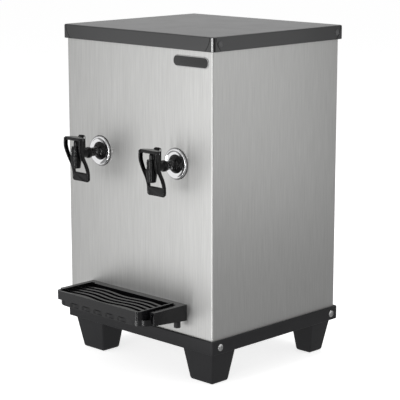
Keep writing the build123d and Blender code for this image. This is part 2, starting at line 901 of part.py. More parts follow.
def escutcheon():
    """A dished chrome ring with a rounded rim."""
    outer = escutcheon_diameter / 2
    hole = shank_diameter / 2 + hole_gap
    crest = outer - escutcheon_rim_width / 2
    dish = outer - escutcheon_rim_width
    rim_y = escutcheon_y - escutcheon_rim_height
    outline = [(hole, escutcheon_y), (outer, escutcheon_y), (outer, escutcheon_y - escutcheon_face)]
    outline += [(crest, rim_y), (dish, rim_y + escutcheon_face / 2)]
    outline += [(collar_base_diameter / 2, collar_y), (hole, collar_y)]
    return Pos(0, 0, tap_height) * turned_y(outline)


def tap_gasket():
    ring = rod_y(gasket_diameter, 0, escutcheon_y, front, tap_height)
    bore = shank_diameter + 2 * hole_gap
    return ring - rod_y(bore, 0, escutcheon_y - overrun, front + overrun, tap_height)


def tap_back_nut():
    seat = front + sheet
    outline = Plane.XZ * RegularPolygon(back_nut_across / 2, 6, major_radius=False)
    nut = Pos(0, seat + back_nut_height, tap_height) * extrude(outline, back_nut_height)
    bore = shank_diameter + 2 * running_gap
    return nut - rod_y(bore, 0, seat - overrun, seat + back_nut_height + overrun, tap_height)


def tap_elbow():
    """The hose elbow behind each tap's shank."""
    start = front + sheet + shank_inside
    centre_y = start + elbow_length / 2
    solid = rod_y(elbow_diameter, 0, start, start + elbow_length, tap_height)
    solid += rod_z(hose_diameter, 0, centre_y, tap_height - elbow_drop, tap_height)
    solid -= rod_y(hose_bore, 0, start - overrun, centre_y, tap_height)
    return solid - rod_z(hose_bore, 0, centre_y, tap_height - elbow_drop - overrun, tap_height)


def tap_hose():
    """From the right tap's elbow, down below the shelf and up to the tank's stub."""
    top_y = front + sheet + shank_inside + elbow_length / 2
    path = bent_path(
        (tap_x, top_y, tap_height - elbow_drop),
        (tap_x, top_y, hose_low_height),
        (stub_x, stub_y, hose_low_height),
        (stub_x, stub_y, stub_end_height),
    )
    return tube_along(path, hose_diameter, hose_bore)


def tray_housing():
    """The fixed part of the tray: a ledge round three sides, a skirt, and rails for the pan."""
    side = Polyline(
        (front, tray_top_height),
        (tray_front, tray_top_height),
        (tray_front, tray_top_height - skirt_front_drop),
        (front, tray_top_height - skirt_back_drop),
        close=True,
    )
    solid = extrude(Plane.YZ * make_face(side), tray_half, both=True)
    low = tray_top_height - skirt_back_drop - overrun
    high = tray_top_height + overrun
    ledge_front = front - back_ledge
    solid -= block(-bay_half, bay_half, tray_front - overrun, ledge_front, low, high)
    roof = tray_top_height - tray_wall
    pocket_back = front - tray_wall
    back_pocket_front = ledge_front + tray_wall
    solid -= block(-bay_half, bay_half, back_pocket_front, pocket_back, low, roof)
    inner = bay_half + tray_wall
    outer = tray_half - tray_wall
    pocket = block(inner, outer, tray_front - overrun, pocket_back, low, roof)
    rail_floor = rail_top - rail_thickness
    rail = block(bay_half - rail_width, bay_half + merge, tray_front, ledge_front + merge, rail_floor, rail_top)
    boss = rod_z(peg_boss_diameter, peg_x, peg_y, tray_top_height - peg_top_drop, roof + merge)
    spigot = rod_z(
        peg_spigot_diameter + 2 * seat_gap,
        peg_x,
        peg_y,
        tray_top_height - peg_top_drop - overrun,
        tray_top_height - peg_top_drop + peg_spigot_length + overrun,
    )
    screw_z = tray_top_height - tray_screw_drop
    screw_boss = rod_y(tray_boss_diameter, tray_screw_x, front - tray_boss_length, front, screw_z)
    screw_room = screw_shank_diameter + 2 * seat_gap
    screw_end = front - tray_screw_length + sheet
    screw_hole = rod_y(screw_room, tray_screw_x, screw_end - overrun, front + overrun, screw_z)
    for turn in (False, True):
        pieces = [pocket, rail, boss, spigot, screw_boss, screw_hole]
        if turn:
            pieces = [mirror(piece, Plane.YZ) for piece in pieces]
        solid = solid - pieces[0] + pieces[1] + pieces[2] - pieces[3] + pieces[4] - pieces[5]
    return solid


def tray_pegs():
    top = tray_top_height - peg_top_drop
    peg = rod_z(peg_diameter, peg_x, peg_y, top - peg_length, top)
    peg += rod_z(peg_spigot_diameter, peg_x, peg_y, top - merge, top + peg_spigot_length)
    return both_sides(peg)


def tray_screws():
    """Driven forwards from inside the casing into the tray's bosses."""
    screw = pan_head_screw(back_screw_head_diameter, back_screw_head_height, tray_screw_length)
    place = Pos(tray_screw_x, front + sheet, tray_top_height - tray_screw_drop)
    return both_sides(place * Rot(-90, 0, 0) * screw)


def pan_outline(inset):
    """The pan in plan, its front corners much rounder than its rear ones."""
    half = pan_half_width - inset
    near = front - pan_reach + inset
    far = front - pan_setback - inset
    corners = [(-half, near), (half, near), (half, far), (-half, far)]
    face = make_face(Polyline(*corners, close=True))
    fronts = face.vertices().sort_by(Axis.Y)[:2]
    face = fillet(fronts, pan_front_corner - inset)
    rears = face.vertices().sort_by(Axis.Y)[-2:]
    return fillet(rears, pan_rear_corner - inset)


def drip_pan():
    """The drawer that catches drips, hung on the rails by its side flanges."""
    outer = extrude(Pos(0, 0, pan_floor) * pan_outline(0), pan_top - pan_floor)
    inner = extrude(Pos(0, 0, pan_floor + pan_wall) * pan_outline(pan_wall), pan_top - pan_floor)
    edge = bay_half - drawer_gap
    flange_front = tray_front + drawer_gap
    flange_back = front - pan_setback - pan_rear_corner
    flange = block(-edge, edge, flange_front, flange_back, rail_top, flange_top)
    face_top = tray_top_height - pan_face_drop
    face_front = front - pan_face_reach
    face = rounded(2 * pan_face_half_width, face_front, front, pan_floor, face_top, pan_face_corner)
    reach = pan_face_half_width + overrun
    face_back = tray_front - drawer_gap
    face -= block(-reach, reach, face_back, front + overrun, pan_floor - overrun, face_top + overrun)
    return outer + face + flange - inner


def rib_line(y, offset):
    """A wavy line across the tray, moved in y by an offset: y minus a cosine of x."""
    end = grille_half_width - grille_wall + merge
    steps = round(2 * end / rib_wavelength * rib_points_per_wave)
    points = []
    for step in range(steps + 1):
        x = -end + 2 * end * step / steps
        points.append((x, y + offset - rib_wave * cos(2 * pi * x / rib_wavelength)))
    return Spline(*points)


def rib(y):
    near = rib_line(y, -rib_width / 2)
    far = rib_line(y, rib_width / 2)
    ends = [Line(near @ 0, far @ 0), Line(near @ 1, far @ 1)]
    face = make_face([near, far] + ends)
    return extrude(Pos(0, 0, rib_top - rib_height) * face, rib_height)


def drip_grille():
    """The lift-off grille: a front apron with returns, side rims with curled ends, and wavy ribs."""
    rim_end = front - rim_back
    solid = block(-grille_half_width, grille_half_width, grille_front, rim_end, apron_bottom, grille_top)
    solid = fillet(solid.edges().filter_by(Axis.Z).group_by(Axis.Y)[0], grille_corner)
    inner = grille_half_width - grille_wall
    inner_front = grille_front + grille_wall
    hollow = block(-inner, inner, inner_front, rim_end + overrun, apron_bottom - overrun, grille_top + overrun)
    solid -= fillet(hollow.edges().filter_by(Axis.Z).group_by(Axis.Y)[0], grille_corner - grille_wall)
    rim_under = flange_top + running_gap
    reach = grille_half_width + overrun
    solid -= block(-reach, reach, tray_front - drawer_gap, rim_end + overrun, apron_bottom - overrun, rim_under)
    curl_low = grille_top - curl_rise_drop
    curl = block(
        grille_half_width - curl_length,
        grille_half_width,
        rim_end - merge,
        rim_end - merge + curl_depth,
        curl_low,
        grille_top,
    )
    solid = solid + curl + mirror(curl, Plane.YZ)
    rib_under = rib_top - rib_height
    bar_back = front - first_rib_setback
    for number in range(rib_count):
        solid += rib(front - first_rib_setback - number * rib_pitch)
    for number in range(crossbar_count):
        x = (number - (crossbar_count - 1) / 2) * crossbar_spacing
        half = crossbar_width / 2
        low = rib_under - crossbar_height
        solid += block(x - half, x + half, inner_front - merge, bar_back, low, rib_under + merge)
    return solid


def tank():
    """The stainless cold tank, with an outlet stub for each tap."""
    rim = tank_rim + tank_rim_thickness
    solid = rod_z(tank_diameter, 0, 0, tank_base, rim)
    solid += rod_z(tank_rim_diameter, 0, 0, tank_rim, rim)
    for side in (-1, 1):
        solid += rod_z(hose_diameter, side * stub_x, stub_y, stub_end_height, tank_base + merge)
    solid -= rod_z(tank_diameter - 2 * tank_wall, 0, 0, tank_base + tank_wall, rim + overrun)
    for side in (-1, 1):
        solid -= rod_z(hose_bore, side * stub_x, stub_y, stub_end_height - overrun, rim)
    return solid


def tank_cover():
    """The moulded cover on the tank's rim, with a raised middle and a hole for the float valve."""
    low = tank_rim + tank_rim_thickness
    inside = tank_diameter / 2 - tank_wall
    solid = rod_z(tank_rim_diameter, 0, 0, low, cover_top)
    solid += rod_z(2 * (inside - nest_gap), 0, 0, low - cover_dome, low + merge)
    solid -= rod_z(2 * (inside - cover_thickness), 0, 0, low - cover_dome - overrun, low)
    hole = valve_tail_diameter + 2 * hole_gap
    return solid - rod_z(hole, valve_x, valve_y, low - overrun, cover_top + overrun)


def stub_holes(low, high):
    hole = hose_diameter + 2 * hose_hole_gap
    return [rod_z(hole, side * stub_x, stub_y, low, high) for side in (-1, 1)]


def chase(low, high):
    """The upright channel on the left of the tank that the refrigerant tubes rise in."""
    outer = -foam_bore_diameter / 2 - chase_depth
    half = chase_width / 2
    return block(outer, -tank_diameter / 2 + merge, -half, half, low, high)


def insulation():
    """The foam pot round the tank."""
    solid = rod_z(foam_diameter, 0, 0, shelf_top, tank_rim)
    solid -= rod_z(foam_bore_diameter, 0, 0, tank_base, tank_rim + overrun)
    for hole in stub_holes(shelf_top - overrun, tank_base + overrun):
        solid -= hole
    return solid - chase(shelf_top - overrun, tank_base + chase_top)


def evaporator_jacket():
    """The aluminium cooling jacket wrapped round the tank, with a slit in front and a block for its tubes."""
    inside = tank_diameter / 2 + jacket_gap
    low = tank_base + jacket_low
    high = tank_rim - jacket_high
    solid = rod_z(2 * (inside + jacket_thickness), 0, 0, low, high)
    tube_block = chase(tank_base + chase_top - 2 * copper_diameter, tank_base + chase_top - copper_diameter)
    block_room = nest_gap + overrun
    tube_block &= block(
        -foam_bore_diameter / 2 - chase_depth + block_room,
        0,
        -chase_width / 2 + block_room,
        chase_width / 2 - block_room,
        tank_base,
        tank_rim,
    )
    solid += tube_block
    solid -= rod_z(2 * inside, 0, 0, low - overrun, high + overrun)
    half = jacket_slit / 2
    return solid - block(-half, half, front, 0, low - overrun, high + overrun)


def tank_shelf():
    """The steel shelf that carries the foam pot, with lips welded to the casing's sides."""
    edge = half_width - sheet
    low = shelf_top - shelf_thickness
    solid = block(-edge, edge, shelf_front, shelf_back, low, shelf_top)
    for side in (-1, 1):
        inner = side * (edge - shelf_thickness)
        outer = side * edge
        lip_low = low - shelf_lip
        x0, x1 = sorted((inner, outer))
        solid += block(x0, x1, shelf_front, shelf_back, lip_low, low + merge)
    for hole in stub_holes(low - overrun, shelf_top + overrun):
        solid -= hole
    return solid - chase(low - overrun, shelf_top + overrun)


def float_valve():
    """The brass valve on the tank's cover, with the fork that the float arm turns in."""
    solid = rod_z(valve_diameter, valve_x, valve_y, cover_top, cover_top + valve_rise)
    solid += rod_y(
        inlet_tube_diameter,
        valve_x,
        valve_y,
        valve_y + valve_diameter / 2 + valve_inlet_length,
        inlet_height,
    )
    fork_top = tank_rim + tank_rim_thickness - cover_dome - nest_gap
    solid += rod_z(valve_tail_diameter, valve_x, valve_y, fork_top - merge, cover_top + merge)
    half = fork_width / 2
    depth = fork_depth / 2
    low = float_pin_height - depth
    fork = block(valve_x - half, valve_x + half, valve_y - depth, valve_y + depth, low, fork_top)
    gap = fork_slot / 2
    eye_room = float_pin_height + float_eye_diameter
    fork -= block(valve_x - gap, valve_x + gap, valve_y - fork_depth, valve_y + fork_depth, low - overrun, eye_room)
    solid += fork
    return solid + rod_x(float_pin_diameter, valve_x - half, valve_x + half, valve_y, float_pin_height)


def float_arm():
    """The rod and ball that close the valve as the tank fills, drawn hanging at their lowest."""
    half = float_eye_width / 2
    eye = rod_x(float_eye_diameter, valve_x - half, valve_x + half, valve_y, float_pin_height)
    reach = hypot(float_reach, float_drop)
    angle = Edge.make_line((0, 0, 0), (0, -float_reach, -float_drop))
    plane = Plane(origin=(valve_x, valve_y, float_pin_height), z_dir=angle.position_at(1))
    arm = plane * Pos(0, 0, reach / 2) * Cylinder(float_arm_diameter / 2, reach)
    ball = plane * Pos(0, 0, reach) * Sphere(float_diameter / 2)
    pin_room = float_pin_diameter + 2 * running_gap
    solid = eye + arm + ball
    return solid - rod_x(pin_room, valve_x - fork_width, valve_x + fork_width, valve_y, float_pin_height)


def water_inlet():
    """The bulkhead union through the back panel: a hex and a plain spigot outside, a tail inside."""
    outline = Plane.XZ * RegularPolygon(inlet_hex / 2, 6, major_radius=False)
    hexagon = extrude(outline, inlet_hex_height)
    solid = Pos(valve_x, back + inlet_hex_height, inlet_height) * hexagon
    solid += rod_y(inlet_diameter, valve_x, back + inlet_hex_height - merge, rear_reach, inlet_height)
    inside = wrap_back - inlet_nut_height
    solid += rod_y(inlet_hole_diameter, valve_x, inside, back + merge, inlet_height)
    tail = wrap_back - inlet_tail_length
    solid += rod_y(inlet_tube_diameter, valve_x, tail, inside + merge, inlet_height)
    return solid - rod_y(inlet_bore, valve_x, tail - overrun, rear_reach + overrun, inlet_height)


def inlet_nut():
    """The ring nut that clamps the union from inside."""
    low = wrap_back - inlet_nut_height
    ring = rod_y(inlet_hex, valve_x, low, wrap_back, inlet_height)
    room = inlet_hole_diameter + 2 * seat_gap
    return ring - rod_y(room, valve_x, low - overrun, wrap_back + overrun, inlet_height)


def inlet_tube():
    """The straight tube from the union to the float valve."""
    start = valve_y + valve_diameter / 2 + valve_inlet_length
    end = wrap_back - inlet_tail_length
    solid = rod_y(inlet_tube_diameter, valve_x, start, end, inlet_height)
    return solid - rod_y(inlet_bore, valve_x, start - overrun, end + overrun, inlet_height)


def compressor():
    """The hermetic compressor: a rounded pot on a foot plate, with two tube stubs on its lid."""
    half_x = compressor_foot_width / 2
    half_y = compressor_foot_depth / 2
    foot_plate = block(
        compressor_x - half_x,
        compressor_x + half_x,
        compressor_y - half_y,
        compressor_y + half_y,
        mount_top,
        pot_base,
    )
    foot_plate = fillet(foot_plate.edges().filter_by(Axis.Z), compressor_mount_inset)
    pot = rod_z(compressor_diameter, compressor_x, compressor_y, pot_base - merge, pot_top)
    pot = fillet(pot.edges().sort_by(Axis.Z)[-1], compressor_round)
    solid = foot_plate + pot
    for side in (-1, 1):
        x = compressor_x + side * pot_stub_offset
        stub_top = pot_top + pot_stub_length
        solid += rod_z(copper_diameter, x, compressor_y, pot_top - merge, stub_top)
    stud_room = stud_diameter + 2 * hole_gap
    for x, y in compressor_mount_places():
        solid -= rod_z(stud_room, x, y, mount_top - overrun, pot_base + overrun)
    return solid


def compressor_mounts():
    solids = []
    for x, y in compressor_mount_places():
        ring = rod_z(compressor_mount_diameter, x, y, plate_top, mount_top)
        stud_room = stud_diameter + 2 * hole_gap
        solids.append(ring - rod_z(stud_room, x, y, plate_top - overrun, mount_top + overrun))
    return Compound(solids)


def condenser_tube_height(row):
    pitch = condenser_height / condenser_tube_rows
    return condenser_base + (row + 1 / 2) * pitch


def condenser():
    """Thin upright fins on level tubes, between two end plates that stand on the base plate."""
    left = condenser_x - condenser_width / 2
    right = condenser_x + condenser_width / 2
    top = condenser_base + condenser_height
    middle_y = (condenser_front + condenser_back) / 2
    pieces = [
        block(left, left + condenser_end_plate, condenser_front, condenser_back, plate_top, top),
        block(right - condenser_end_plate, right, condenser_front, condenser_back, plate_top, top),
    ]
    fins = int((condenser_width - 2 * fin_pitch) / fin_pitch)
    for number in range(fins + 1):
        x = condenser_x + (number - fins / 2) * fin_pitch
        half = fin_thickness / 2
        pieces.append(block(x - half, x + half, condenser_front, condenser_back, condenser_base, top))
    for row in range(condenser_tube_rows):
        z = condenser_tube_height(row)
        pieces.append(rod_x(condenser_tube_diameter, left, right, middle_y, z))
    return pieces[0].fuse(*pieces[1:])


def fan_shroud():
    """A plate on the condenser with a ring for the fan and a spider that holds the motor."""
    ring = rod_y(shroud_ring_diameter, condenser_x, ring_front, condenser_front, fan_height)
    half = condenser_width / 2
    plate_front = condenser_front - shroud_flange
    rise = condenser_height / 2
    flange = block(
        condenser_x - half,
        condenser_x + half,
        plate_front,
        condenser_front,
        fan_height - rise,
        fan_height + rise,
    )
    solid = ring + flange
    bore = shroud_ring_diameter - 2 * shroud_wall
    solid -= rod_y(bore, condenser_x, ring_front - overrun, condenser_front + overrun, fan_height)
    spider_back = ring_front + shroud_spider
    solid += rod_y(shroud_hub_diameter, condenser_x, ring_front, spider_back, fan_height)
    for number in range(spider_count):
        arm = Box(shroud_ring_diameter / 2 - shroud_wall / 2, shroud_spider, spider_width)
        arm = Pos((shroud_ring_diameter - shroud_wall) / 4, 0, 0) * arm
        turn = Rot(0, 90 + 360 * number / spider_count, 0)
        solid += Pos(condenser_x, ring_front + shroud_spider / 2, fan_height) * turn * arm
    return solid - rod_y(spider_bore_diameter, condenser_x, ring_front - overrun, spider_back + overrun, fan_height)


def fan_motor():
    body = rod_y(motor_diameter, condenser_x, ring_front - motor_length, ring_front, fan_height)
    body = fillet(body.edges().sort_by(Axis.Y)[0], small_round)
    shaft_end = ring_front + shroud_spider + fan_hub_gap + fan_hub_length
    return body + rod_y(motor_shaft_diameter, condenser_x, ring_front - merge, shaft_end, fan_height)


def fan_rotor():
    """A hub with flat pitched blades."""
    low = ring_front + shroud_spider + fan_hub_gap
    solid = rod_y(fan_hub_diameter, 0, low, low + fan_hub_length, 0)
    inner = fan_hub_diameter / 2 - blade_thickness
    length = fan_diameter / 2 - inner
    middle_y = low + fan_hub_length / 2
    pieces = []
    for number in range(fan_blades):
        blade = Rot(blade_pitch_degrees, 0, 0) * Box(length, blade_thickness, blade_chord)
        turn = Rot(0, 360 * number / fan_blades, 0)
        pieces.append(Pos(0, middle_y, 0) * turn * Pos(inner + length / 2, 0, 0) * blade)
    solid = solid.fuse(*pieces)
    shaft_room = motor_shaft_diameter + 2 * running_gap
    solid -= rod_y(shaft_room, 0, low - blade_chord, low + fan_hub_length + blade_chord, 0)
    return Pos(condenser_x, 0, fan_height) * solid


def filter_drier():
    """The copper drier that stands against the left side, with a narrow neck at each end."""
    high = drier_height + drier_length
    solid = rod_z(drier_diameter, drier_x, drier_y, drier_height, high)
    ends = solid.edges().filter_by(GeomType.CIRCLE)
    solid = fillet(ends, drier_round)
    low_neck = drier_height - drier_neck_length
    high_neck = high + drier_neck_length
    return solid + rod_z(drier_neck_diameter, drier_x, drier_y, low_neck, high_neck)


def refrigerant_tubes():
    """Compressor to condenser, condenser to drier, drier to jacket, and jacket back to compressor."""
    stub_top = pot_top + pot_stub_length
    middle_y = (condenser_front + condenser_back) / 2
    left = condenser_x - condenser_width / 2
    high_row = condenser_tube_height(condenser_tube_rows - 1)
    low_row = condenser_tube_height(0)
    out_x = compressor_x + pot_stub_offset
    back_x = compressor_x - pot_stub_offset
    rise = stub_top + tube_rise
    side_x = left - tube_run_out
    chase_x = -foam_bore_diameter / 2 - chase_depth / 2
    block_under = tank_base + chase_top - 2 * copper_diameter
    discharge = bent_path(
        (out_x, compressor_y, stub_top),
        (out_x, compressor_y, rise),
        (side_x, middle_y, high_row),
        (left, middle_y, high_row),
    )
    drier_low = drier_height - drier_neck_length
    dip = drier_low - drier_diameter
    liquid = bent_path(
        (left, middle_y, low_row),
        (side_x, middle_y, low_row),
        (drier_x, drier_y, dip),
        (drier_x, drier_y, drier_low),
    )
    drier_high = drier_height + drier_length + drier_neck_length
    capillary = bent_path(
        (drier_x, drier_y, drier_high),
        (drier_x, drier_y, drier_high + drier_diameter),
        (chase_x, tube_lane, drier_high + 2 * drier_diameter),
        (chase_x, tube_lane, block_under),
    )
    suction = bent_path(
        (back_x, compressor_y, stub_top),
        (back_x, compressor_y, rise),
        (chase_x, -tube_lane, rise + drier_diameter),
        (chase_x, -tube_lane, block_under),
    )
    return Compound([
        tube_along(discharge, copper_diameter),
        tube_along(liquid, copper_diameter),
        tube_along(capillary, capillary_diameter),
        tube_along(suction, copper_diameter),
    ])


def thermostat():
    """The control on the back panel's inner face, with a shaft through to the knob."""
    half_x = thermostat_width / 2
    half_z = thermostat_tall / 2
    solid = block(
        thermostat_x - half_x,
        thermostat_x + half_x,
        wrap_back - thermostat_depth,
        wrap_back,
        thermostat_height - half_z,
        thermostat_height + half_z,
    )
    solid = fillet(solid.edges().filter_by(Axis.Y), small_round)
    shaft_end = back + thermostat_shaft_length - knob_web
    return solid + rod_y(
        thermostat_shaft_diameter,
        thermostat_x,
        wrap_back - merge,
        shaft_end,
        thermostat_height,
    )


def thermostat_knob():
    """A fluted knob with a raised pointer bar."""
    low = back + knob_gap
    high = low + knob_length
    solid = rod_y(knob_diameter, 0, low, high, 0)
    flutes = []
    for number in range(knob_flutes):
        angle = 2 * pi * number / knob_flutes
        x = knob_diameter / 2 * cos(angle)
        z = knob_diameter / 2 * sin(angle)
        flutes.append(rod_y(knob_flute_diameter, x, low + knob_web, high + overrun, z))
    solid = solid.cut(*flutes)
    pointer = block(
        -pointer_width / 2,
        pointer_width / 2,
        high - pointer_depth,
        high + overrun,
        knob_diameter / 2 - pointer_inset,
        knob_diameter / 2,
    )
    shaft_room = thermostat_shaft_diameter + 2 * running_gap
    shaft_end = back + thermostat_shaft_length - knob_web + hole_gap
    solid = solid - pointer - rod_y(shaft_room, 0, low - overrun, shaft_end, 0)
    return Pos(thermostat_x, 0, thermostat_height) * solid


def mains_block(width, height, y0, y1):
    return block(
        mains_x - width / 2,
        mains_x + width / 2,
        y0,
        y1,
        mains_height - height / 2,
        mains_height + height / 2,
    )


def mains_inlet():
    """The socket that a removable mains lead plugs into."""
    flange_back = back + mains_flange_thickness
    solid = mains_block(mains_flange_width, mains_flange_height, back, flange_back)
    solid += mains_block(mains_body_width, mains_body_height, back - mains_body_depth, back + merge)
    recess_end = flange_back - mains_recess_depth
    recess = mains_block(mains_recess_width, mains_recess_height, recess_end, flange_back + overrun)
    return solid - recess


def mains_pins():
    """The three flat pins in the socket."""
    recess_end = back + mains_flange_thickness - mains_recess_depth
    solids = []
    for number in (-1, 0, 1):
        x = mains_x + number * blade_spacing
        z = mains_height + (blade_rise if number == 0 else -blade_rise)
        half_x = blade_width / 2
        half_z = blade_height / 2
        tip = recess_end + blade_length
        solids.append(block(x - half_x, x + half_x, recess_end, tip, z - half_z, z + half_z))
    return Compound(solids)


def make_nodes():
    """Every node by its name, about the middle of the casing."""
    nodes = {
        "base_frame": base_frame(),
        "base_plate": base_plate(),
        "foot_bolts": foot_bolts(),
        "casing_wrap": casing_wrap(),
        "back_panel": back_panel(),
        "back_panel_screws": back_panel_screws(),
        "lid": lid(),
        "badge_plate": badge_plate(),
        "tray_housing": tray_housing(),
        "tray_pegs": tray_pegs(),
        "tray_screws": tray_screws(),
        "drip_pan": drip_pan(),
        "drip_grille": drip_grille(),
        "tank": tank(),
        "tank_cover": tank_cover(),
        "tank_insulation": insulation(),
        "evaporator_jacket": evaporator_jacket(),
        "tank_shelf": tank_shelf(),
        "float_valve": float_valve(),
        "float_arm": float_arm(),
        "water_inlet": water_inlet(),
        "water_inlet_nut": inlet_nut(),
        "inlet_tube": inlet_tube(),
        "compressor": compressor(),
        "compressor_mounts": compressor_mounts(),
        "condenser": condenser(),
        "fan_shroud": fan_shroud(),
        "fan_motor": fan_motor(),
        "fan_rotor": fan_rotor(),
        "filter_drier": filter_drier(),
        "refrigerant_tubes": refrigerant_tubes(),
        "thermostat": thermostat(),
        "thermostat_knob": thermostat_knob(),
        "mains_inlet": mains_inlet(),
        "mains_pins": mains_pins(),
    }
    nodes["base_screws"] = side_screws(
        base_screw_head_diameter,
        base_screw_head_height,
        half_width + band_proud,
        base_screw_y,
        base_screw_height,
    )
    nodes["lid_screws"] = side_screws(
        lid_screw_head_diameter,
        lid_screw_head_height,
        half_width + lid_overhang,
        lid_screw_y,
        lid_screw_height,
    )
    sides = {-1: "left", 1: "right"}
    ends = {-1: "front", 1: "rear"}
    for side_x, side_y in CORNERS:
        nodes[f"foot_{ends[side_y]}_{sides[side_x]}"] = foot(side_x, side_y)
    tap_pieces = {
        "tap_body": tap_body(),
        "tap_bonnet": bonnet(),
        "tap_stem": stem(),
        "valve_seal": valve_seal(),
        "tap_spring": tap_spring(),
        "tap_lever": lever(),
        "escutcheon": escutcheon(),
    }
    for name, solid in tap_pieces.items():
        for side_x, side in sides.items():
            nodes[f"{side}_{name}"] = Pos(side_x * tap_x, 0, 0) * solid
    shared = {
        "lever_pins": pivot_pin(),
        "tap_gaskets": tap_gasket(),
        "tap_back_nuts": tap_back_nut(),
        "tap_elbows": tap_elbow(),
    }
    for name, solid in shared.items():
        nodes[name] = Compound([Pos(side_x * tap_x, 0, 0) * solid for side_x in sides])
    nodes["tap_hoses"] = both_sides(tap_hose())
    return nodes


if __name__ == "__main__":
    os.makedirs("parts", exist_ok=True)
    for node, solid in make_nodes().items():
        export_step(Pos(0, casing_y, 0) * solid, f"parts/{node}.step")
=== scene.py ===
"""The looks of the countertop water cooler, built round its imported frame. Metres, +Z up, taps towards -Y."""

from math import pi, radians

import bmesh
import bpy
import numpy as np
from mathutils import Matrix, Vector


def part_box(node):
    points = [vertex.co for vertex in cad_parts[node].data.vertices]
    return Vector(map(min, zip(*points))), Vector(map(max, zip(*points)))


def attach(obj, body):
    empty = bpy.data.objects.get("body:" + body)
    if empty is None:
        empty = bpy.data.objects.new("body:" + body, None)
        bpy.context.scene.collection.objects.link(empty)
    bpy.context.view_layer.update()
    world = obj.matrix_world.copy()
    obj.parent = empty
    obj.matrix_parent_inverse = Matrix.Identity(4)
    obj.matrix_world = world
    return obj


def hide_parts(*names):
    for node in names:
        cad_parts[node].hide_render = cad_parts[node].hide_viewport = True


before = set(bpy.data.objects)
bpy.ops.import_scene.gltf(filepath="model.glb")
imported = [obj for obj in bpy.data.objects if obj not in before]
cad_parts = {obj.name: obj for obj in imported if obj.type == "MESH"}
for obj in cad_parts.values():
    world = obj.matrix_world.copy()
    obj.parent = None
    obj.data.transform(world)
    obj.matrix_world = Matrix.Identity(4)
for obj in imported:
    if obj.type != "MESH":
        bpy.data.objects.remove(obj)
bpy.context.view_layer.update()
MM = 0.001

# Camera, as fitted to the casing's edges
CAMERA_PLACE = (1559.2 * MM, -1563.9 * MM, 687.5 * MM)
CAMERA_TURN = (radians(78.457), 0.0, radians(44.413))
CAMERA_LENS = 135.945

# How finely shapes are cut, and how their meshes are cleaned and rounded, with angles in degrees
CORNER_STEPS = 12
BLOCK_CORNER_STEPS = 6
TURN_STEPS = 96
EDGE_STEPS = 5
MERGE = 1e-6
FLAT_ANGLE = 1.0
BEVEL_ANGLE = 30.0
BEVEL_SEGMENTS = 2
SHARP_ANGLE = 50.0
MOULD_VOXEL = 0.4 * MM
MOULD_SMOOTHING = 2


# Meshes

def arc(start, end, steps):
    """Angles from start to end in degrees, as radians."""
    return np.radians(np.linspace(start, end, steps))


def rounded_outline(low, high, radius, steps=CORNER_STEPS, side_steps=1):
    """A rounded rectangle walked anticlockwise: points, and the outward normal at each.

    Each corner is centre + radius (cos a, sin a), with the normal (cos a, sin a). The straight side after it
    is cut into side_steps equal lengths.
    """
    points, normals = [], []
    corners = [(high[0], high[1], 0), (low[0], high[1], 90), (low[0], low[1], 180), (high[0], low[1], 270)]
    for x, y, start in corners:
        angles = arc(start, start + 90, steps)
        normal = np.stack([np.cos(angles), np.sin(angles)], 1)
        centre = np.array([x, y]) - radius * np.sign([np.cos(angles[steps // 2]), np.sin(angles[steps // 2])])
        points.append(centre + radius * normal)
        normals.append(normal)
    walked, facing = [], []
    for corner, following, normal in zip(points, points[1:] + points[:1], normals):
        share = np.linspace(0, 1, side_steps + 1)[1:-1, None]
        walked += [corner, corner[-1] + (following[0] - corner[-1]) * share]
        facing += [normal, np.repeat(normal[-1:], side_steps - 1, 0)]
    return np.concatenate(walked), np.concatenate(facing)


def carried(points, normals, profile):
    """A profile of (offset, height) carried round an outline: grid[i, j] = point i + offset j x normal i."""
    offset, height = np.array(profile).T
    flat = points[:, None, :] + normals[:, None, :] * offset[None, :, None]
    z = np.broadcast_to(height[None, :, None], flat.shape[:2] + (1,))
    return np.concatenate([flat, z], 2)


def turned(profile, centre, axis="Z", steps=TURN_STEPS):
    """A profile of (radius, distance along the axis) turned about an axis through the centre."""
    radius, along = np.array(profile).T
    angle = np.linspace(0, 2 * pi, steps, endpoint=False)[:, None]
    across = radius[None, :] * np.cos(angle)
    other = radius[None, :] * np.sin(angle)
    along = np.broadcast_to(along, across.shape)
    order = {"Z": (across, other, along), "Y": (other, along, across), "X": (along, across, other)}
    return np.stack(order[axis], 2) + np.array(centre)


def lower_round(radius, z, steps=EDGE_STEPS):
    """Part of a profile, round an edge that starts at z: offset -r (1 - sin a), height z + r (1 - cos a)."""
    return [(-radius * (1 - np.sin(a)), z + radius * (1 - np.cos(a))) for a in arc(0, 90, steps)]


def upper_round(radius, z, turn=90, steps=EDGE_STEPS):
    """Part of a profile, round an edge that ends at z: offset -r + r cos a, height z - r + r sin a."""
    return [(-radius + radius * np.cos(a), z - radius + radius * np.sin(a)) for a in arc(0, turn, steps)]


def soft_rim(half, soft):
    """A profile across the rim of a wall from face to face, with both of its edges cut back."""
    return [(-soft, -half), (0, -half + soft), (0, half - soft), (-soft, half)]


def flat_ring(outline, z):
    """An outline in plan, laid flat at a height."""
    return np.column_stack([outline, np.full(len(outline), z)])


def quads(grid, wrap_columns=False):
    """Points and faces of a grid whose rows wrap round, and its columns too if asked."""
    rows, columns = grid.shape[:2]
    here = np.arange(rows * columns).reshape(rows, columns)
    right = np.roll(here, -1, 0)
    if wrap_columns:
        faces = np.stack([here, right, np.roll(right, -1, 1), np.roll(here, -1, 1)], 2)
    else:
        faces = np.stack([here[:, :-1], right[:, :-1], right[:, 1:], here[:, 1:]], 2)
    return grid.reshape(-1, 3), faces.reshape(-1, 4).tolist()


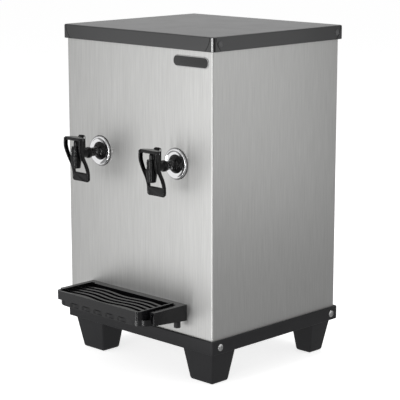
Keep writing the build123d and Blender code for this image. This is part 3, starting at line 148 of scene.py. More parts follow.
def shell(grid):
    """A closed shell from a grid whose rows wrap round, with its first and last columns capped."""
    points, faces = quads(grid)
    rows, columns = grid.shape[:2]
    ring = np.arange(rows) * columns
    faces += [ring[::-1].tolist(), (ring + columns - 1).tolist()]
    return points, faces


def torus_shell(grid):
    """A closed shell from a grid whose rows and columns both wrap round."""
    return quads(grid, wrap_columns=True)


def joined(shells):
    """Several shells as one list of points and one of faces."""
    points, faces, count = [], [], 0
    for some_points, some_faces in shells:
        points.append(some_points)
        faces += [[i + count for i in face] for face in some_faces]
        count += len(some_points)
    return np.concatenate(points), faces


def placed(name, data):
    """A new object for a mesh, a light or a camera, linked into the scene."""
    thing = bpy.data.objects.new(name, data)
    bpy.context.scene.collection.objects.link(thing)
    return thing


def cleaned(mesh, flatten=False):
    """Merges doubled points, drops empty faces or joins flat ones, and turns each shell's faces outwards."""
    work = bmesh.new()
    work.from_mesh(mesh)
    bmesh.ops.remove_doubles(work, verts=work.verts, dist=MERGE)
    if flatten:
        bmesh.ops.dissolve_limit(work, angle_limit=radians(FLAT_ANGLE), verts=work.verts, edges=work.edges)
    else:
        bmesh.ops.dissolve_degenerate(work, edges=work.edges, dist=MERGE)
    bmesh.ops.recalc_face_normals(work, faces=work.faces)
    work.to_mesh(mesh)
    work.free()


def new_mesh(name, shells, smooth_angle=35.0):
    """A mesh object whose faces point outwards, smooth except at sharp edges."""
    points, faces = joined(shells)
    mesh = bpy.data.meshes.new(name)
    mesh.from_pydata(points.tolist(), [], faces)
    mesh.update()
    cleaned(mesh)
    mesh.shade_smooth()
    mesh.set_sharp_from_angle(angle=radians(smooth_angle))
    return placed(name, mesh)


def applied(thing):
    """Replaces an object's mesh by what its modifiers make of it."""
    bpy.context.view_layer.update()
    evaluated = thing.evaluated_get(bpy.context.evaluated_depsgraph_get())
    mesh = bpy.data.meshes.new_from_object(evaluated)
    thing.modifiers.clear()
    old = thing.data
    thing.data = mesh
    bpy.data.meshes.remove(old)
    return thing


def moulded(name, shells):
    """Overlapping closed shells fused into one skin with soft fillets, as a moulding has."""
    thing = new_mesh(name, shells)
    remesh = thing.modifiers.new("fuse", "REMESH")
    remesh.mode = "VOXEL"
    remesh.voxel_size = MOULD_VOXEL
    thing.modifiers.new("soften", "SMOOTH").iterations = MOULD_SMOOTHING
    applied(thing)
    thing.data.shade_smooth()
    return thing


def softened(name, node, radius):
    """A copy of a CAD node with its triangles merged into flats and its edges rounded."""
    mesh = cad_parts[node].data.copy()
    mesh.name = name
    cleaned(mesh, flatten=True)
    mesh.materials.clear()
    thing = placed(name, mesh)
    bevel = thing.modifiers.new("edge", "BEVEL")
    bevel.width = radius
    bevel.segments = BEVEL_SEGMENTS
    bevel.limit_method = "ANGLE"
    bevel.angle_limit = radians(BEVEL_ANGLE)
    bevel.use_clamp_overlap = True
    applied(thing)
    thing.data.shade_smooth()
    thing.data.set_sharp_from_angle(angle=radians(SHARP_ANGLE))
    thing.modifiers.new("even shading", "WEIGHTED_NORMAL").keep_sharp = True
    return applied(thing)


def fitted(thing, body, finish, slot, *nodes):
    """Gives a piece its finish, the body it rides on and the CAD nodes that it stands for."""
    thing.data.materials.clear()
    thing.data.materials.append(finish)
    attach(thing, body)
    if nodes:
        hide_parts(*nodes)


# Finishes

class Socket:
    """A shader value; arithmetic on it adds Math nodes."""

    def __init__(self, finish, output):
        self.finish = finish
        self.output = output

    def math(self, operation, left, right):
        return self.finish.add("ShaderNodeMath", {"operation": operation}, [left, right])

    def __add__(self, other):
        return self.math("ADD", self, other)

    __radd__ = __add__

    def __sub__(self, other):
        return self.math("SUBTRACT", self, other)

    def __rsub__(self, other):
        return self.math("SUBTRACT", other, self)

    def __mul__(self, other):
        return self.math("MULTIPLY", self, other)

    __rmul__ = __mul__


class Finish:
    """A material being built: one shader and the nodes that feed it."""

    def __init__(self, name, colour, **constants):
        self.material = bpy.data.materials.new(name)
        self.material.use_nodes = True
        self.tree = self.material.node_tree
        self.shader = self.tree.nodes["Principled BSDF"]
        self.shader.inputs["Base Color"].default_value = (*colour, 1.0)
        for socket, value in constants.items():
            self.shader.inputs[socket.replace("_", " ")].default_value = value
        self.material.diffuse_color = (*colour, 1.0)

    def add(self, kind, settings, values, out=0):
        """A node with its settings set first, then its sockets' values or links by place or by name."""
        node = self.tree.nodes.new(kind)
        for key, value in settings.items():
            if key == "stops":
                self.set_stops(node.color_ramp, value)
            else:
                setattr(node, key, value)
        pairs = values.items() if isinstance(values, dict) else enumerate(values)
        for place, value in pairs:
            self.feed(node.inputs[place], value)
        return Socket(self, node.outputs[out])

    def set_stops(self, ramp, stops):
        while len(ramp.elements) > len(stops):
            ramp.elements.remove(ramp.elements[-1])
        while len(ramp.elements) < len(stops):
            ramp.elements.new(1.0)
        for element, (place, colour) in zip(ramp.elements, stops):
            element.position = place
            element.color = (*colour, 1.0)

    def feed(self, socket, value):
        if isinstance(value, Socket):
            self.tree.links.new(value.output, socket)
        else:
            socket.default_value = value

    def drive(self, **sockets):
        for name, value in sockets.items():
            self.feed(self.shader.inputs[name.replace("_", " ")], value)
        return self

    def place(self, stretch=(1, 1, 1)):
        """Object coordinates, stretched."""
        where = self.add("ShaderNodeTexCoord", {}, {}, "Object")
        return self.add("ShaderNodeMapping", {}, {"Vector": where, "Scale": stretch})

    def noise(self, scale, detail=3.0, roughness=0.5, stretch=(1, 1, 1)):
        values = {"Vector": self.place(stretch), "Scale": scale, "Detail": detail, "Roughness": roughness}
        return self.add("ShaderNodeTexNoise", {}, values, "Fac")

    def ramp(self, factor, *stops):
        return self.add("ShaderNodeValToRGB", {"stops": stops}, {"Fac": factor}, "Color")

    def mix(self, factor, first, second):
        """A colour between two others; the node's colour sockets come after its number and vector ones."""
        return self.add("ShaderNodeMix", {"data_type": "RGBA"}, {0: factor, 6: first, 7: second}, 2)

    def worn(self, marks, colour, change, roughness, spread):
        """Colour and gloss by a pattern: towards change times the colour, and up to spread rougher."""
        other = tuple(min(1.0, channel * change) for channel in colour)
        mixed = self.mix(marks, (*colour, 1.0), (*other, 1.0))
        return self.drive(Base_Color=mixed, Roughness=marks * spread + roughness)

    def bump(self, height, strength, distance):
        values = {"Height": height, "Strength": strength, "Distance": distance}
        return self.drive(Normal=self.add("ShaderNodeBump", {}, values, "Normal"))


def brushed_steel(name, light, dark, roughness, stretch=(1, 1, 0.02)):
    """Stainless sheet, a little warm, with fine grain along Z and faint wider streaks."""
    finish = Finish(name, (light, light, light), Metallic=1.0)
    fine = finish.noise(scale=1500, detail=2.0, roughness=0.6, stretch=stretch)
    wide = finish.noise(scale=680, detail=3.0, roughness=0.6, stretch=stretch)
    grain = fine * 0.5 + wide * 0.5
    blue, spread = 0.985, 0.14
    colour = finish.ramp(grain, (0.38, (dark, dark, dark * blue)), (0.62, (light, light, light * blue)))
    finish.drive(Base_Color=colour, Roughness=grain * spread + (roughness - spread / 2))
    return finish.bump(fine, strength=0.08, distance=0.05 * MM).material


def sheet_metal(name, light, dark, roughness):
    """Dull zinc-coated or mill-finish sheet with a faint cloudy pattern."""
    finish = Finish(name, (light, light, light), Metallic=1.0)
    cloud = finish.noise(scale=60, detail=4.0, roughness=0.6)
    colour = finish.ramp(cloud, (0.35, (dark, dark, dark)), (0.65, (light, light, light)))
    finish.drive(Base_Color=colour, Roughness=cloud * 0.15 + roughness)
    return finish.bump(finish.noise(scale=900), strength=0.05, distance=0.05 * MM).material


def moulded_plastic(name, colour, roughness, texture, specular=0.5):
    """Moulded plastic: a fine spark-eroded texture, with faint handling marks in its gloss."""
    finish = Finish(name, colour, Specular_IOR_Level=specular)
    marks = finish.noise(scale=35, detail=5.0, roughness=0.65)
    spread = 0.12
    finish.worn(marks, colour, change=1.25, roughness=roughness - spread / 2, spread=spread)
    return finish.bump(finish.noise(scale=2600, detail=2.0), texture, distance=0.06 * MM).material


def enamel(name, colour, roughness):
    """Semi-gloss baked enamel with a faint orange peel."""
    finish = Finish(name, colour, Coat_Weight=0.25, Coat_Roughness=0.2)
    marks = finish.noise(scale=25, detail=5.0, roughness=0.6)
    spread = 0.1
    finish.worn(marks, colour, change=1.12, roughness=roughness - spread / 2, spread=spread)
    return finish.bump(finish.noise(scale=450, detail=2.0), strength=0.06, distance=0.1 * MM).material


def polished(name, colour, roughness):
    """Plated or polished metal with hairline wear."""
    finish = Finish(name, colour, Metallic=1.0)
    marks = finish.noise(scale=120, detail=5.0, roughness=0.7)
    finish.worn(marks, colour, change=0.9, roughness=roughness, spread=0.08)
    return finish.bump(finish.noise(scale=1500, detail=2.0), strength=0.02, distance=0.03 * MM).material


def foam_finish(name, light=0.82, seam=0.55):
    """Expanded foam beads: cells with dark seams."""
    finish = Finish(name, (light, light, 0.8))
    values = {"Vector": finish.place(), "Scale": 300.0}
    cells = finish.add("ShaderNodeTexVoronoi", {"feature": "DISTANCE_TO_EDGE"}, values, "Distance")
    colour = finish.ramp(cells, (0.0, (seam, seam, seam)), (0.12, (light, light, light)))
    finish.drive(Base_Color=colour, Roughness=finish.noise(scale=200) * 0.1 + 0.75)
    return finish.bump(cells, strength=0.4, distance=0.4 * MM).material


STEEL = brushed_steel("brushed_stainless", light=0.66, dark=0.575, roughness=0.5)
TANK_STEEL = brushed_steel("tank_stainless", light=0.66, dark=0.55, roughness=0.28, stretch=(1, 1, 0.05))
LID_GREY = enamel("lid_enamel", (0.024, 0.0244, 0.0252), roughness=0.38)
SCREW_GREY = enamel("screw_enamel", (0.05, 0.0505, 0.052), roughness=0.38)
POT_ENAMEL = enamel("compressor_enamel", (0.015, 0.015, 0.016), roughness=0.35)
BLACK = moulded_plastic("black_moulding", (0.015, 0.015, 0.016), 0.42, texture=0.15, specular=0.2)
TAP_BLACK = moulded_plastic("tap_black", (0.001, 0.001, 0.0012), 0.17, texture=0.03, specular=0.28)
TRAY_BLACK = moulded_plastic("tray_black", (0.004, 0.004, 0.0045), 0.2, texture=0.04, specular=0.36)
BADGE_BLACK = moulded_plastic("badge_black", (0.01, 0.01, 0.01), 0.15, texture=0.02)
RUBBER = moulded_plastic("black_rubber", (0.012, 0.012, 0.012), 0.7, texture=0.3)
WHITE_PLASTIC = moulded_plastic("white_moulding", (0.75, 0.75, 0.73), 0.4, texture=0.1)
HOSE = moulded_plastic("milky_silicone", (0.7, 0.71, 0.7), 0.35, texture=0.05)
BADGE_RIM = polished("badge_rim", (0.6, 0.6, 0.6), roughness=0.25)
# A polished metal used only as a painted highlight up the lid's corner bends
PAINTED_HIGHLIGHT_METAL = polished("painted_highlight_metal", (0.5, 0.5, 0.5), roughness=0.3)
CHROME = polished("chrome", (0.82, 0.82, 0.83), roughness=0.04)
SCREW_STEEL = polished("zinc_screw", (0.7, 0.7, 0.7), roughness=0.22)
BRASS = polished("machined_brass", (0.7, 0.52, 0.25), roughness=0.25)
COPPER = polished("drawn_copper", (0.75, 0.4, 0.27), roughness=0.28)
ZINC = sheet_metal("zinc_sheet", light=0.6, dark=0.5, roughness=0.4)
ALUMINIUM = sheet_metal("mill_aluminium", light=0.78, dark=0.7, roughness=0.35)
FOAM = foam_finish("white_foam")


# Casing

CASE_SHEET = 1.0 * MM
CASE_BEND = 3.0 * MM
CASE_FLANGE = 14.0 * MM
REVEAL = 0.2 * MM

LID_CORNER = 5.0 * MM
LID_CROWN = 0.8 * MM
LID_CROWN_RINGS = 24
LID_CROWN_PEAK = 0.02
LID_EDGE = 2.2 * MM
LID_EDGE_TURN = 84
LID_EDGE_STEPS = 8
LIP_ROUND = 0.8 * MM
SEAM_TOP = 6.5 * MM
SEAM_FOOT = 15.5 * MM
SEAM_WIDTH = 1.1 * MM
SEAM_PROUD = 0.04 * MM
SEAM_DEPTH = 0.25 * MM
SEAM_STEPS = 24
BEND_STEPS = 9
# Strips up the lid's bends, in degrees round from its front or back face: a black strip that is a painted dark
# reflection, and a bright strip that is a painted highlight
PAINTED_DARK_REFLECTION_SPAN = (54, 88)
PAINTED_HIGHLIGHT_SPAN = (18, 46)

BAND_CORNER = 4.5 * MM
BAND_ROUND = 1.0 * MM
BAND_OPENING = (85.0 * MM, 75.0 * MM)
BAND_OPENING_CORNER = 1.0 * MM

FOOT_OUTER_TAPER = 8.6 * MM
FOOT_INNER_TAPER = 7.2 * MM
FOOT_POCKET_RADIUS = 6.5 * MM
FOOT_POCKET_DEPTH = 26.0 * MM
FOOT_CORNER = 3.0 * MM
FOOT_LEAST_CORNER = 0.8 * MM
FOOT_GROOVE_HEIGHT = 1.6 * MM
FOOT_GROOVE_DEPTH = 2.0 * MM
SOLE_ROUND = 4.0 * MM
SOLE_STEPS = 7

# Screw heads: radius and height, then their dome and cross slot as shares of these
BASE_SCREW = (5.2 * MM, 2.3 * MM)
LID_SCREW = (4.4 * MM, 1.9 * MM)
DOME_FALL_SHARE = 0.7
DOME_POWER = 2.4
HEAD_WALL_SHARE = 0.97
HEAD_SIDE_SHARE = 0.8
SLOT_HALF_SHARE = 0.11
SLOT_LENGTH_SHARE = 0.6
SLOT_DEPTH_SHARE = 0.45
HEAD_TURN_STEPS = 72

BADGE_CORNER_SHARE = 0.47
BADGE_SOFT = 0.35 * MM
BADGE_RIM_WIDTH = 0.9 * MM
BADGE_EDGE_SHARE = 0.7
BADGE_FACE_SHARE = 0.8


def box_of(node):
    low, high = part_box(node)
    return np.array(low), np.array(high)


def corners_of(low, high):
    """The four corners of a box in plan: x and its sign outwards, then y and its sign."""
    for corner_x, sign_x in ((low[0], -1), (high[0], 1)):
        for corner_y, sign_y in ((low[1], -1), (high[1], 1)):
            yield corner_x, sign_x, corner_y, sign_y


def make_lid():
    """A profile up the skirt, round the edge and over a crown that falls with the square of the distance."""
    low, high = box_of("lid")
    wrap_high = box_of("casing_wrap")[1]
    points, normals = rounded_outline(low[:2], high[:2], LID_CORNER)
    wall = high[0] - wrap_high[0] - REVEAL
    profile = [(-wall, wrap_high[2]), (-wall, low[2]), *lower_round(LIP_ROUND, low[2])]
    profile += upper_round(LID_EDGE, high[2] - LID_CROWN, LID_EDGE_TURN, LID_EDGE_STEPS)
    side = carried(points, normals, profile)
    middle = (low + high) / 2
    rim = side[:, -1:, :]
    share = np.linspace(1, LID_CROWN_PEAK, LID_CROWN_RINGS)[None, :, None]
    top = middle + (rim - middle) * share
    fall = 1 - share[..., 0] ** 2
    top[..., 2] = rim[..., 2] + (high[2] - rim[..., 2]) * fall
    lid = new_mesh("lid_shell", [shell(np.concatenate([side, top[:, 1:]], 1))])
    fitted(lid, "cooler", LID_GREY, "grey_paint", "lid")


def make_lid_seams():
    """Folded corner joints: a ribbon down each skirt, a + b s^2 from the corner at a share s of the way."""
    low, high = box_of("lid")
    share = np.linspace(0, 1, SEAM_STEPS)
    offset = SEAM_TOP + (SEAM_FOOT - SEAM_TOP) * share**2
    z = high[2] - LID_EDGE - (high[2] - LID_EDGE - low[2] - LIP_ROUND) * share
    half = SEAM_WIDTH / 2
    section = [(-half, -SEAM_DEPTH), (half, -SEAM_DEPTH), (half, SEAM_PROUD), (-half, SEAM_PROUD)]
    shells = []
    for corner_x, sign_x, corner_y, sign_y in corners_of(low, high):
        on_x, on_y = [], []
        for side, out in section:
            face_x = np.full(SEAM_STEPS, corner_x + sign_x * out)
            face_y = np.full(SEAM_STEPS, corner_y + sign_y * out)
            on_x.append((face_x, corner_y - sign_y * (offset + side), z))
            on_y.append((corner_x - sign_x * (offset + side), face_y, z))
        shells += [shell(np.array(ribbon).transpose(0, 2, 1)) for ribbon in (on_x, on_y)]
    fitted(new_mesh("lid_seams", shells), "cooler", TAP_BLACK, "grey_paint")


def make_lid_strips(name, finish, span):
    """A strip up each of the lid's four bends, on the arc of its corner between two angles."""
    low, high = box_of("lid")
    angle = arc(*span, BEND_STEPS)
    angle = np.concatenate([angle, angle[::-1]])
    radius = np.repeat([LID_CORNER + SEAM_PROUD, LID_CORNER - SEAM_DEPTH], BEND_STEPS)
    shells = []
    for corner_x, sign_x, corner_y, sign_y in corners_of(low, high):
        x = corner_x + sign_x * (radius * np.sin(angle) - LID_CORNER)
        y = corner_y + sign_y * (radius * np.cos(angle) - LID_CORNER)
        ends = [flat_ring(np.stack([x, y], 1), z) for z in (low[2] + LIP_ROUND, high[2] - LID_EDGE)]
        shells.append(shell(np.stack(ends, 1)))
    fitted(new_mesh(name, shells), "cooler", finish, "grey_paint")


def make_casing():
    """The bent sheet: an open outline in plan, along its outer face and back along its inner one, raised."""
    low, high = box_of("casing_wrap")
    middle = (low[0] + high[0]) / 2
    half = (high[0] - low[0]) / 2 - CASE_FLANGE
    faces = []
    for inset in (0.0, CASE_SHEET):
        outline = rounded_outline(low[:2] + inset, high[:2] - inset, CASE_BEND - inset)[0]
        ends = [[middle - half, high[1] - inset], [middle + half, high[1] - inset]]
        faces.append(np.concatenate([ends[:1], np.roll(outline, -CORNER_STEPS, 0), ends[1:]]))
    loop = np.concatenate([faces[0], faces[1][::-1]])
    grid = np.stack([flat_ring(loop, low[2]), flat_ring(loop, high[2])], 1)
    fitted(new_mesh("casing_sheet", [shell(grid)]), "cooler", STEEL, "brushed_stainless", "casing_wrap")


def make_band():
    """A rounded wall round the casing's foot and a floor that runs in to an oblong opening."""
    low, high = box_of("base_frame")
    wrap_low = box_of("casing_wrap")[0]
    points, normals = rounded_outline(low[:2], high[:2], BAND_CORNER)
    wall = wrap_low[0] - low[0] - REVEAL
    floor = wrap_low[2]
    profile = lower_round(BAND_ROUND, low[2]) + upper_round(BAND_ROUND, high[2])
    profile += [(-wall, high[2]), (-wall, floor)]
    outer = carried(points, normals, profile)
    middle = (low + high) / 2
    half = np.array(BAND_OPENING)
    opening = rounded_outline(middle[:2] - half, middle[:2] + half, BAND_OPENING_CORNER)[0]
    ring = np.stack([flat_ring(opening, floor), flat_ring(opening, low[2])], 1)
    band = new_mesh("base_band", [torus_shell(np.concatenate([outer, ring], 1))])
    fitted(band, "cooler", BLACK, "black_plastic", "base_frame")


def make_foot(node):
    """Rounded rectangles stacked from sole to groove, size and middle sliding evenly, with a bolt pocket."""
    low, high = box_of(node)
    centre = (low + high) / 2
    outward = np.sign(centre - sum(box_of("base_frame")) / 2)[:2]
    low_cut = np.where(outward > 0, FOOT_INNER_TAPER, FOOT_OUTER_TAPER)
    high_cut = np.where(outward > 0, FOOT_OUTER_TAPER, FOOT_INNER_TAPER)
    height = high[2]
    rings = []
    sole = [(-offset, z) for offset, z in lower_round(SOLE_ROUND, 0.0, SOLE_STEPS)]
    groove = height - FOOT_GROOVE_HEIGHT
    for inset, z in sole + [(0.0, groove), (FOOT_GROOVE_DEPTH, groove), (FOOT_GROOVE_DEPTH, height)]:
        share = 1 - z / height
        ring_low = low[:2] + low_cut * share + inset
        ring_high = high[:2] - high_cut * share - inset
        corner = max(FOOT_CORNER - inset, FOOT_LEAST_CORNER)
        rings.append(flat_ring(rounded_outline(ring_low, ring_high, corner)[0], z))
    angle = np.arctan2(*(rings[0][:, :2] - centre[:2]).T[::-1])
    circle = centre[:2] + FOOT_POCKET_RADIUS * np.stack([np.cos(angle), np.sin(angle)], 1)
    inner = [flat_ring(circle, z) for z in (FOOT_POCKET_DEPTH, 0.0)]
    foot = new_mesh(node + "_block", [shell(np.stack(inner + rings, 1))])
    fitted(foot, "cooler", BLACK, "black_plastic", node)


def screw_shell(centre, out, radius, height, crossed):
    """A screw head, a grid of radius by angle: 1 - a s^b high at a share s out, less two crossed grooves."""
    side = np.array([0, 0, 1.0])
    across = np.cross(side, out)
    # Even steps over the dome, then closer ones up to the rim
    share = np.concatenate([np.linspace(0.02, 0.96, 20), np.cos(arc(15, 0, 4))])
    angle = np.linspace(0, 2 * pi, HEAD_TURN_STEPS, endpoint=False)[:, None]
    u = share * np.cos(angle)
    v = share * np.sin(angle)
    dome = height * (1 - DOME_FALL_SHARE * share ** DOME_POWER)
    dome = np.where(share > HEAD_WALL_SHARE, height * (1 - DOME_FALL_SHARE) * HEAD_SIDE_SHARE, dome)
    if crossed:
        in_one = (np.abs(u) < SLOT_HALF_SHARE) & (np.abs(v) < SLOT_LENGTH_SHARE)
        in_other = (np.abs(v) < SLOT_HALF_SHARE) & (np.abs(u) < SLOT_LENGTH_SHARE)
        dome = dome - np.where(in_one | in_other, SLOT_DEPTH_SHARE * height, 0.0)
    dome = np.concatenate([np.broadcast_to(dome, u.shape), np.zeros((len(angle), 1))], 1)[..., None]
    u = np.concatenate([u, np.cos(angle)], 1)[..., None]
    v = np.concatenate([v, np.sin(angle)], 1)[..., None]
    return shell(np.array(centre) + radius * (u * across + v * side) + dome * out)


def make_screws(name, node, size, finish, slot, crossed):
    """The four screw heads of a node, two to each side, which stand at the ends of its box."""
    radius, height = size
    low, high = box_of(node)
    z = (low[2] + high[2]) / 2
    shells = []
    for corner_x, sign_x, corner_y, sign_y in corners_of(low, high):
        centre = (corner_x - sign_x * height, corner_y - sign_y * radius, z)
        shells.append(screw_shell(centre, np.array([sign_x, 0, 0], float), radius, height, crossed))
    fitted(new_mesh(name, shells, smooth_angle=40.0), "cooler", finish, slot, node)


def make_badge():
    """A pill-shaped plate: a rounded outline raised with a soft edge, and a fine bright rim."""
    low, high = box_of("badge_plate")
    outline, normals = rounded_outline(low[[0, 2]], high[[0, 2]], (high[2] - low[2]) * BADGE_CORNER_SHARE)
    thick = high[1] - low[1]
    rim = BADGE_RIM_WIDTH
    soft = BADGE_SOFT

    def upright(profile):
        grid = carried(outline, normals, profile)
        return np.stack([grid[..., 0], high[1] - grid[..., 2], grid[..., 1]], 2)

    edge_profile = [(0, 0), (0, thick - soft), (-soft, thick), (-rim, thick), (-rim, 0)]
    face_profile = [(-rim, 0), (-rim, thick * BADGE_EDGE_SHARE), (-rim - soft, thick * BADGE_FACE_SHARE)]
    edge = new_mesh("badge_rim", [torus_shell(upright(edge_profile))])
    plate = new_mesh("badge_face", [shell(upright(face_profile))])
    fitted(edge, "cooler", BADGE_RIM, "badge")
    fitted(plate, "cooler", BADGE_BLACK, "badge", "badge_plate")


make_lid()
make_lid_seams()
# Painted dark reflection: black strips up each corner bend of the lid, where the rounded enamel would mirror
# dark surroundings
make_lid_strips("lid_painted_dark_reflections", TAP_BLACK, PAINTED_DARK_REFLECTION_SPAN)
# Painted highlight: bright polished strips up each corner bend of the lid, standing in for the glint the
# enamel catches
make_lid_strips("lid_painted_highlights", PAINTED_HIGHLIGHT_METAL, PAINTED_HIGHLIGHT_SPAN)
make_casing()
make_band()
for end in ("front", "rear"):
    for side in ("left", "right"):
        make_foot(f"foot_{end}_{side}")
make_screws("base_screw_heads", "base_screws", BASE_SCREW, SCREW_STEEL, "bright_screw", crossed=True)
make_screws("lid_screw_heads", "lid_screws", LID_SCREW, SCREW_GREY, "grey_paint", crossed=False)
make_badge()


# Taps

SPOUT_REACH = 47.5 * MM
SPOUT_DROP = 20.0 * MM
HUB_SETBACK = 24.5 * MM
HUB_RADIUS = 8.25 * MM
POST_SETBACK = 11.0 * MM
POST_DEPTH = 7.0 * MM
POST_HALF = 4.6 * MM
POST_SLOT_HALF = 2.7 * MM
POST_BELOW_PIN = 5.0 * MM
POST_CORNER = 1.0 * MM
CHEEK_RISE = 6.0 * MM
CHEEK_SOFT = 0.4 * MM
CHEEK_FLAT = 0.05 * MM
PIN_RISE = 24.0 * MM
ROD_RADIUS = 3.5 * MM
ROD_FOOT = 10.0 * MM
DISH_STEPS = 128
# The radius at which a turned shape is capped near its axis
POLE = 0.01 * MM

# Profiles in millimetres. The collar and the neck: radius, then distance from the front panel
COLLAR = [(0.01, -1.2), (6.4, -1.2), (6.4, 1.7), (13.4, 1.75), (13.5, 2.3), (12.9, 2.8), (12.2, 3.0)]
for crest, reach in ((12.2, 3.4), (11.1, 4.6), (10.0, 5.7)):
    COLLAR += [(crest - 0.6, reach), (crest, reach + 0.25)]
    COLLAR += [(crest - 0.1, reach + 0.7), (crest - 0.8, reach + 0.9)]
COLLAR += [(8.6, 6.9), (7.0, 7.8), (6.5, 9.4), (6.5, 46.0), (0.01, 46.0)]
# The spout and the bonnet: radius, then height over the tap's axis
SPOUT = [(0.01, -19.4), (4.7, -19.4), (4.75, -20.0), (5.6, -20.0), (6.0, -19.6), (6.5, -17), (7.15, -12.5)]
SPOUT += [(7.9, -8), (8.2, -5), (8.2, -1.6), (7.9, -1.2), (6.0, -1.2), (6.0, 0.5), (0.01, 0.5)]
CAP = [(0.01, -1.2), (6.2, -1.2), (7.0, -1.1), (7.25, -0.8), (7.25, 2.2), (6.9, 2.5), (6.5, 2.7), (6.5, 3.5)]
CAP += [(6.9, 3.7), (7.25, 4.0), (7.25, 8.6), (6.9, 8.9), (6.5, 9.1), (6.5, 9.8), (6.8, 10.1), (6.8, 11.2)]
CAP += [(6.3, 11.8), (0.01, 11.8)]
# The escutcheon: radius, then distance from the front panel
DISH = [(6.7, 0.8), (21.7, 0.8), (22.0, 1.0), (22.0, 1.6), (21.7, 2.4), (21.0, 3.1), (20.2, 3.5)]
DISH += [(19.4, 3.45), (18.7, 3.1), (17.6, 2.6), (16.0, 2.1), (14.5, 1.85), (13.0, 1.7), (6.7, 1.7)]
# The arm's middle line from the paddle up: height, y from the spout, half width, depth
ARM_LINE = [
    (2.5, 9.0, 15.3, 5.0),
    (6.0, 9.0, 15.3, 5.4),
    (14.6, 8.4, 15.3, 5.6),
    (24.8, 5.2, 15.2, 6.0),
    (33.1, 1.0, 15.1, 6.3),
    (39.9, -2.0, 15.2, 6.5),
    (53.2, -5.5, 16.3, 6.8),
    (65.0, -5.2, 16.3, 6.8),
]
# The top plate's rows: y from its front edge, half width
PLATE_ROWS = [(0.0, 17.2), (0.8, 18.0), (4.0, 18.0), (6.5, 16.0), (9.0, 12.5), (12.4, 7.0), (13.2, 6.0)]

ARM_THICKNESS = 3.4 * MM
ARM_CORNER = 1.2 * MM
ARM_STEPS = 48
PLATE_OVERHANG = 6.5 * MM
PLATE_THICKNESS = 4.5 * MM
PLATE_DROP = 1.5 * MM
PLATE_SOFT = 0.6 * MM
PADDLE_HALF = 17.0 * MM
PADDLE_HEIGHT = 12.8 * MM
PADDLE_HALF_THICK = 2.0 * MM
PADDLE_CORNER = 4.0 * MM
PADDLE_SOFT = 0.8 * MM
PADDLE_HOLLOW = 1.4 * MM
TONGUE_HALF = 2.5 * MM
TONGUE_REACH = 2.0 * MM
TONGUE_CORNER = 0.3 * MM
EYE_RADIUS = 3.8 * MM
EYE_STEPS = 48


def rising(profile, base):
    """A profile in millimetres whose second value is counted up from a base."""
    return [(radius * MM, base + rise * MM) for radius, rise in profile]


def reaching(profile, front_y):
    """A profile in millimetres whose second value is counted forward from the front panel."""
    return [(radius * MM, front_y - reach * MM) for radius, reach in profile]


def block_shell(low, high, corner):
    """A block with rounded upright edges."""
    outline, normals = rounded_outline(low[:2], high[:2], corner, BLOCK_CORNER_STEPS)
    return shell(carried(outline, normals, [(0, low[2]), (0, high[2])]))


def cheek_shell(x, middle_y, low_z, pin_z):
    """One wall of the lever post: a rounded outline in y and z, its rim softened towards both faces."""
    radius = POST_DEPTH / 2
    low, high = (middle_y - radius, low_z), (middle_y + radius, pin_z + radius)
    outline, normals = rounded_outline(low, high, radius - CHEEK_FLAT)
    grid = carried(outline, normals, soft_rim((POST_HALF - POST_SLOT_HALF) / 2, CHEEK_SOFT))
    return shell(np.stack([x + grid[..., 2], grid[..., 0], grid[..., 1]], 2))


def ball_shell(centre, radius):
    """A ball: a half circle turned about the upright axis through its centre."""
    arch = [(radius * np.cos(a), centre[2] + radius * np.sin(a)) for a in arc(-89, 89, 40)]
    return shell(turned(arch, (centre[0], centre[1], 0)))


def make_tap(side):
    """One tap: a moulded body, a grooved bonnet, a stem, a looped lever and its escutcheon."""
    body_low, body_high = box_of(f"{side}_tap_body")
    x = (body_low[0] + body_high[0]) / 2
    front_y = box_of("casing_wrap")[0][1]
    spout_y = front_y - SPOUT_REACH
    axis_z = body_low[2] + SPOUT_DROP
    post_y = spout_y + POST_SETBACK
    pin_z = axis_z + PIN_RISE

    shells = [shell(turned(reaching(COLLAR, front_y), (x, 0, axis_z), "Y"))]
    shells.append(shell(turned(rising(SPOUT, axis_z), (x, spout_y, 0))))
    shells.append(ball_shell((x, front_y - HUB_SETBACK, axis_z), HUB_RADIUS))
    post_low = (x - POST_HALF, post_y - POST_DEPTH / 2, axis_z)
    post_high = (x + POST_HALF, post_y + POST_DEPTH / 2, pin_z - POST_BELOW_PIN)
    shells.append(block_shell(post_low, post_high, POST_CORNER))
    for sign in (-1, 1):
        cheek_x = x + sign * (POST_HALF + POST_SLOT_HALF) / 2
        shells.append(cheek_shell(cheek_x, post_y, axis_z + CHEEK_RISE, pin_z))
    body = moulded(f"{side}_tap_moulding", shells)
    fitted(body, "cooler", TAP_BLACK, "black_plastic", f"{side}_tap_body")

    bonnet = new_mesh(f"{side}_bonnet_cap", [shell(turned(rising(CAP, axis_z), (x, spout_y, 0)))])
    fitted(bonnet, "cooler", TAP_BLACK, "black_plastic", f"{side}_tap_bonnet")

    tip = box_of(f"{side}_tap_stem")[1][2]
    r = ROD_RADIUS
    rod = [(POLE, axis_z + ROD_FOOT), (r, axis_z + ROD_FOOT)]
    rod += [(r * np.cos(a), tip - r + r * np.sin(a)) for a in arc(0, 88, 10)]
    push_rod = new_mesh(f"{side}_push_rod", [shell(turned(rod, (x, spout_y, 0)))])
    fitted(push_rod, f"{side}_stem", TAP_BLACK, "black_plastic", f"{side}_tap_stem")

    make_lever(side, x, spout_y, post_y, pin_z)
    dish = torus_shell(turned(reaching(DISH, front_y), (x, 0, axis_z), "Y", DISH_STEPS))
    ring = new_mesh(f"{side}_chrome_dish", [dish], smooth_angle=60.0)
    fitted(ring, "cooler", CHROME, "chrome", f"{side}_escutcheon")


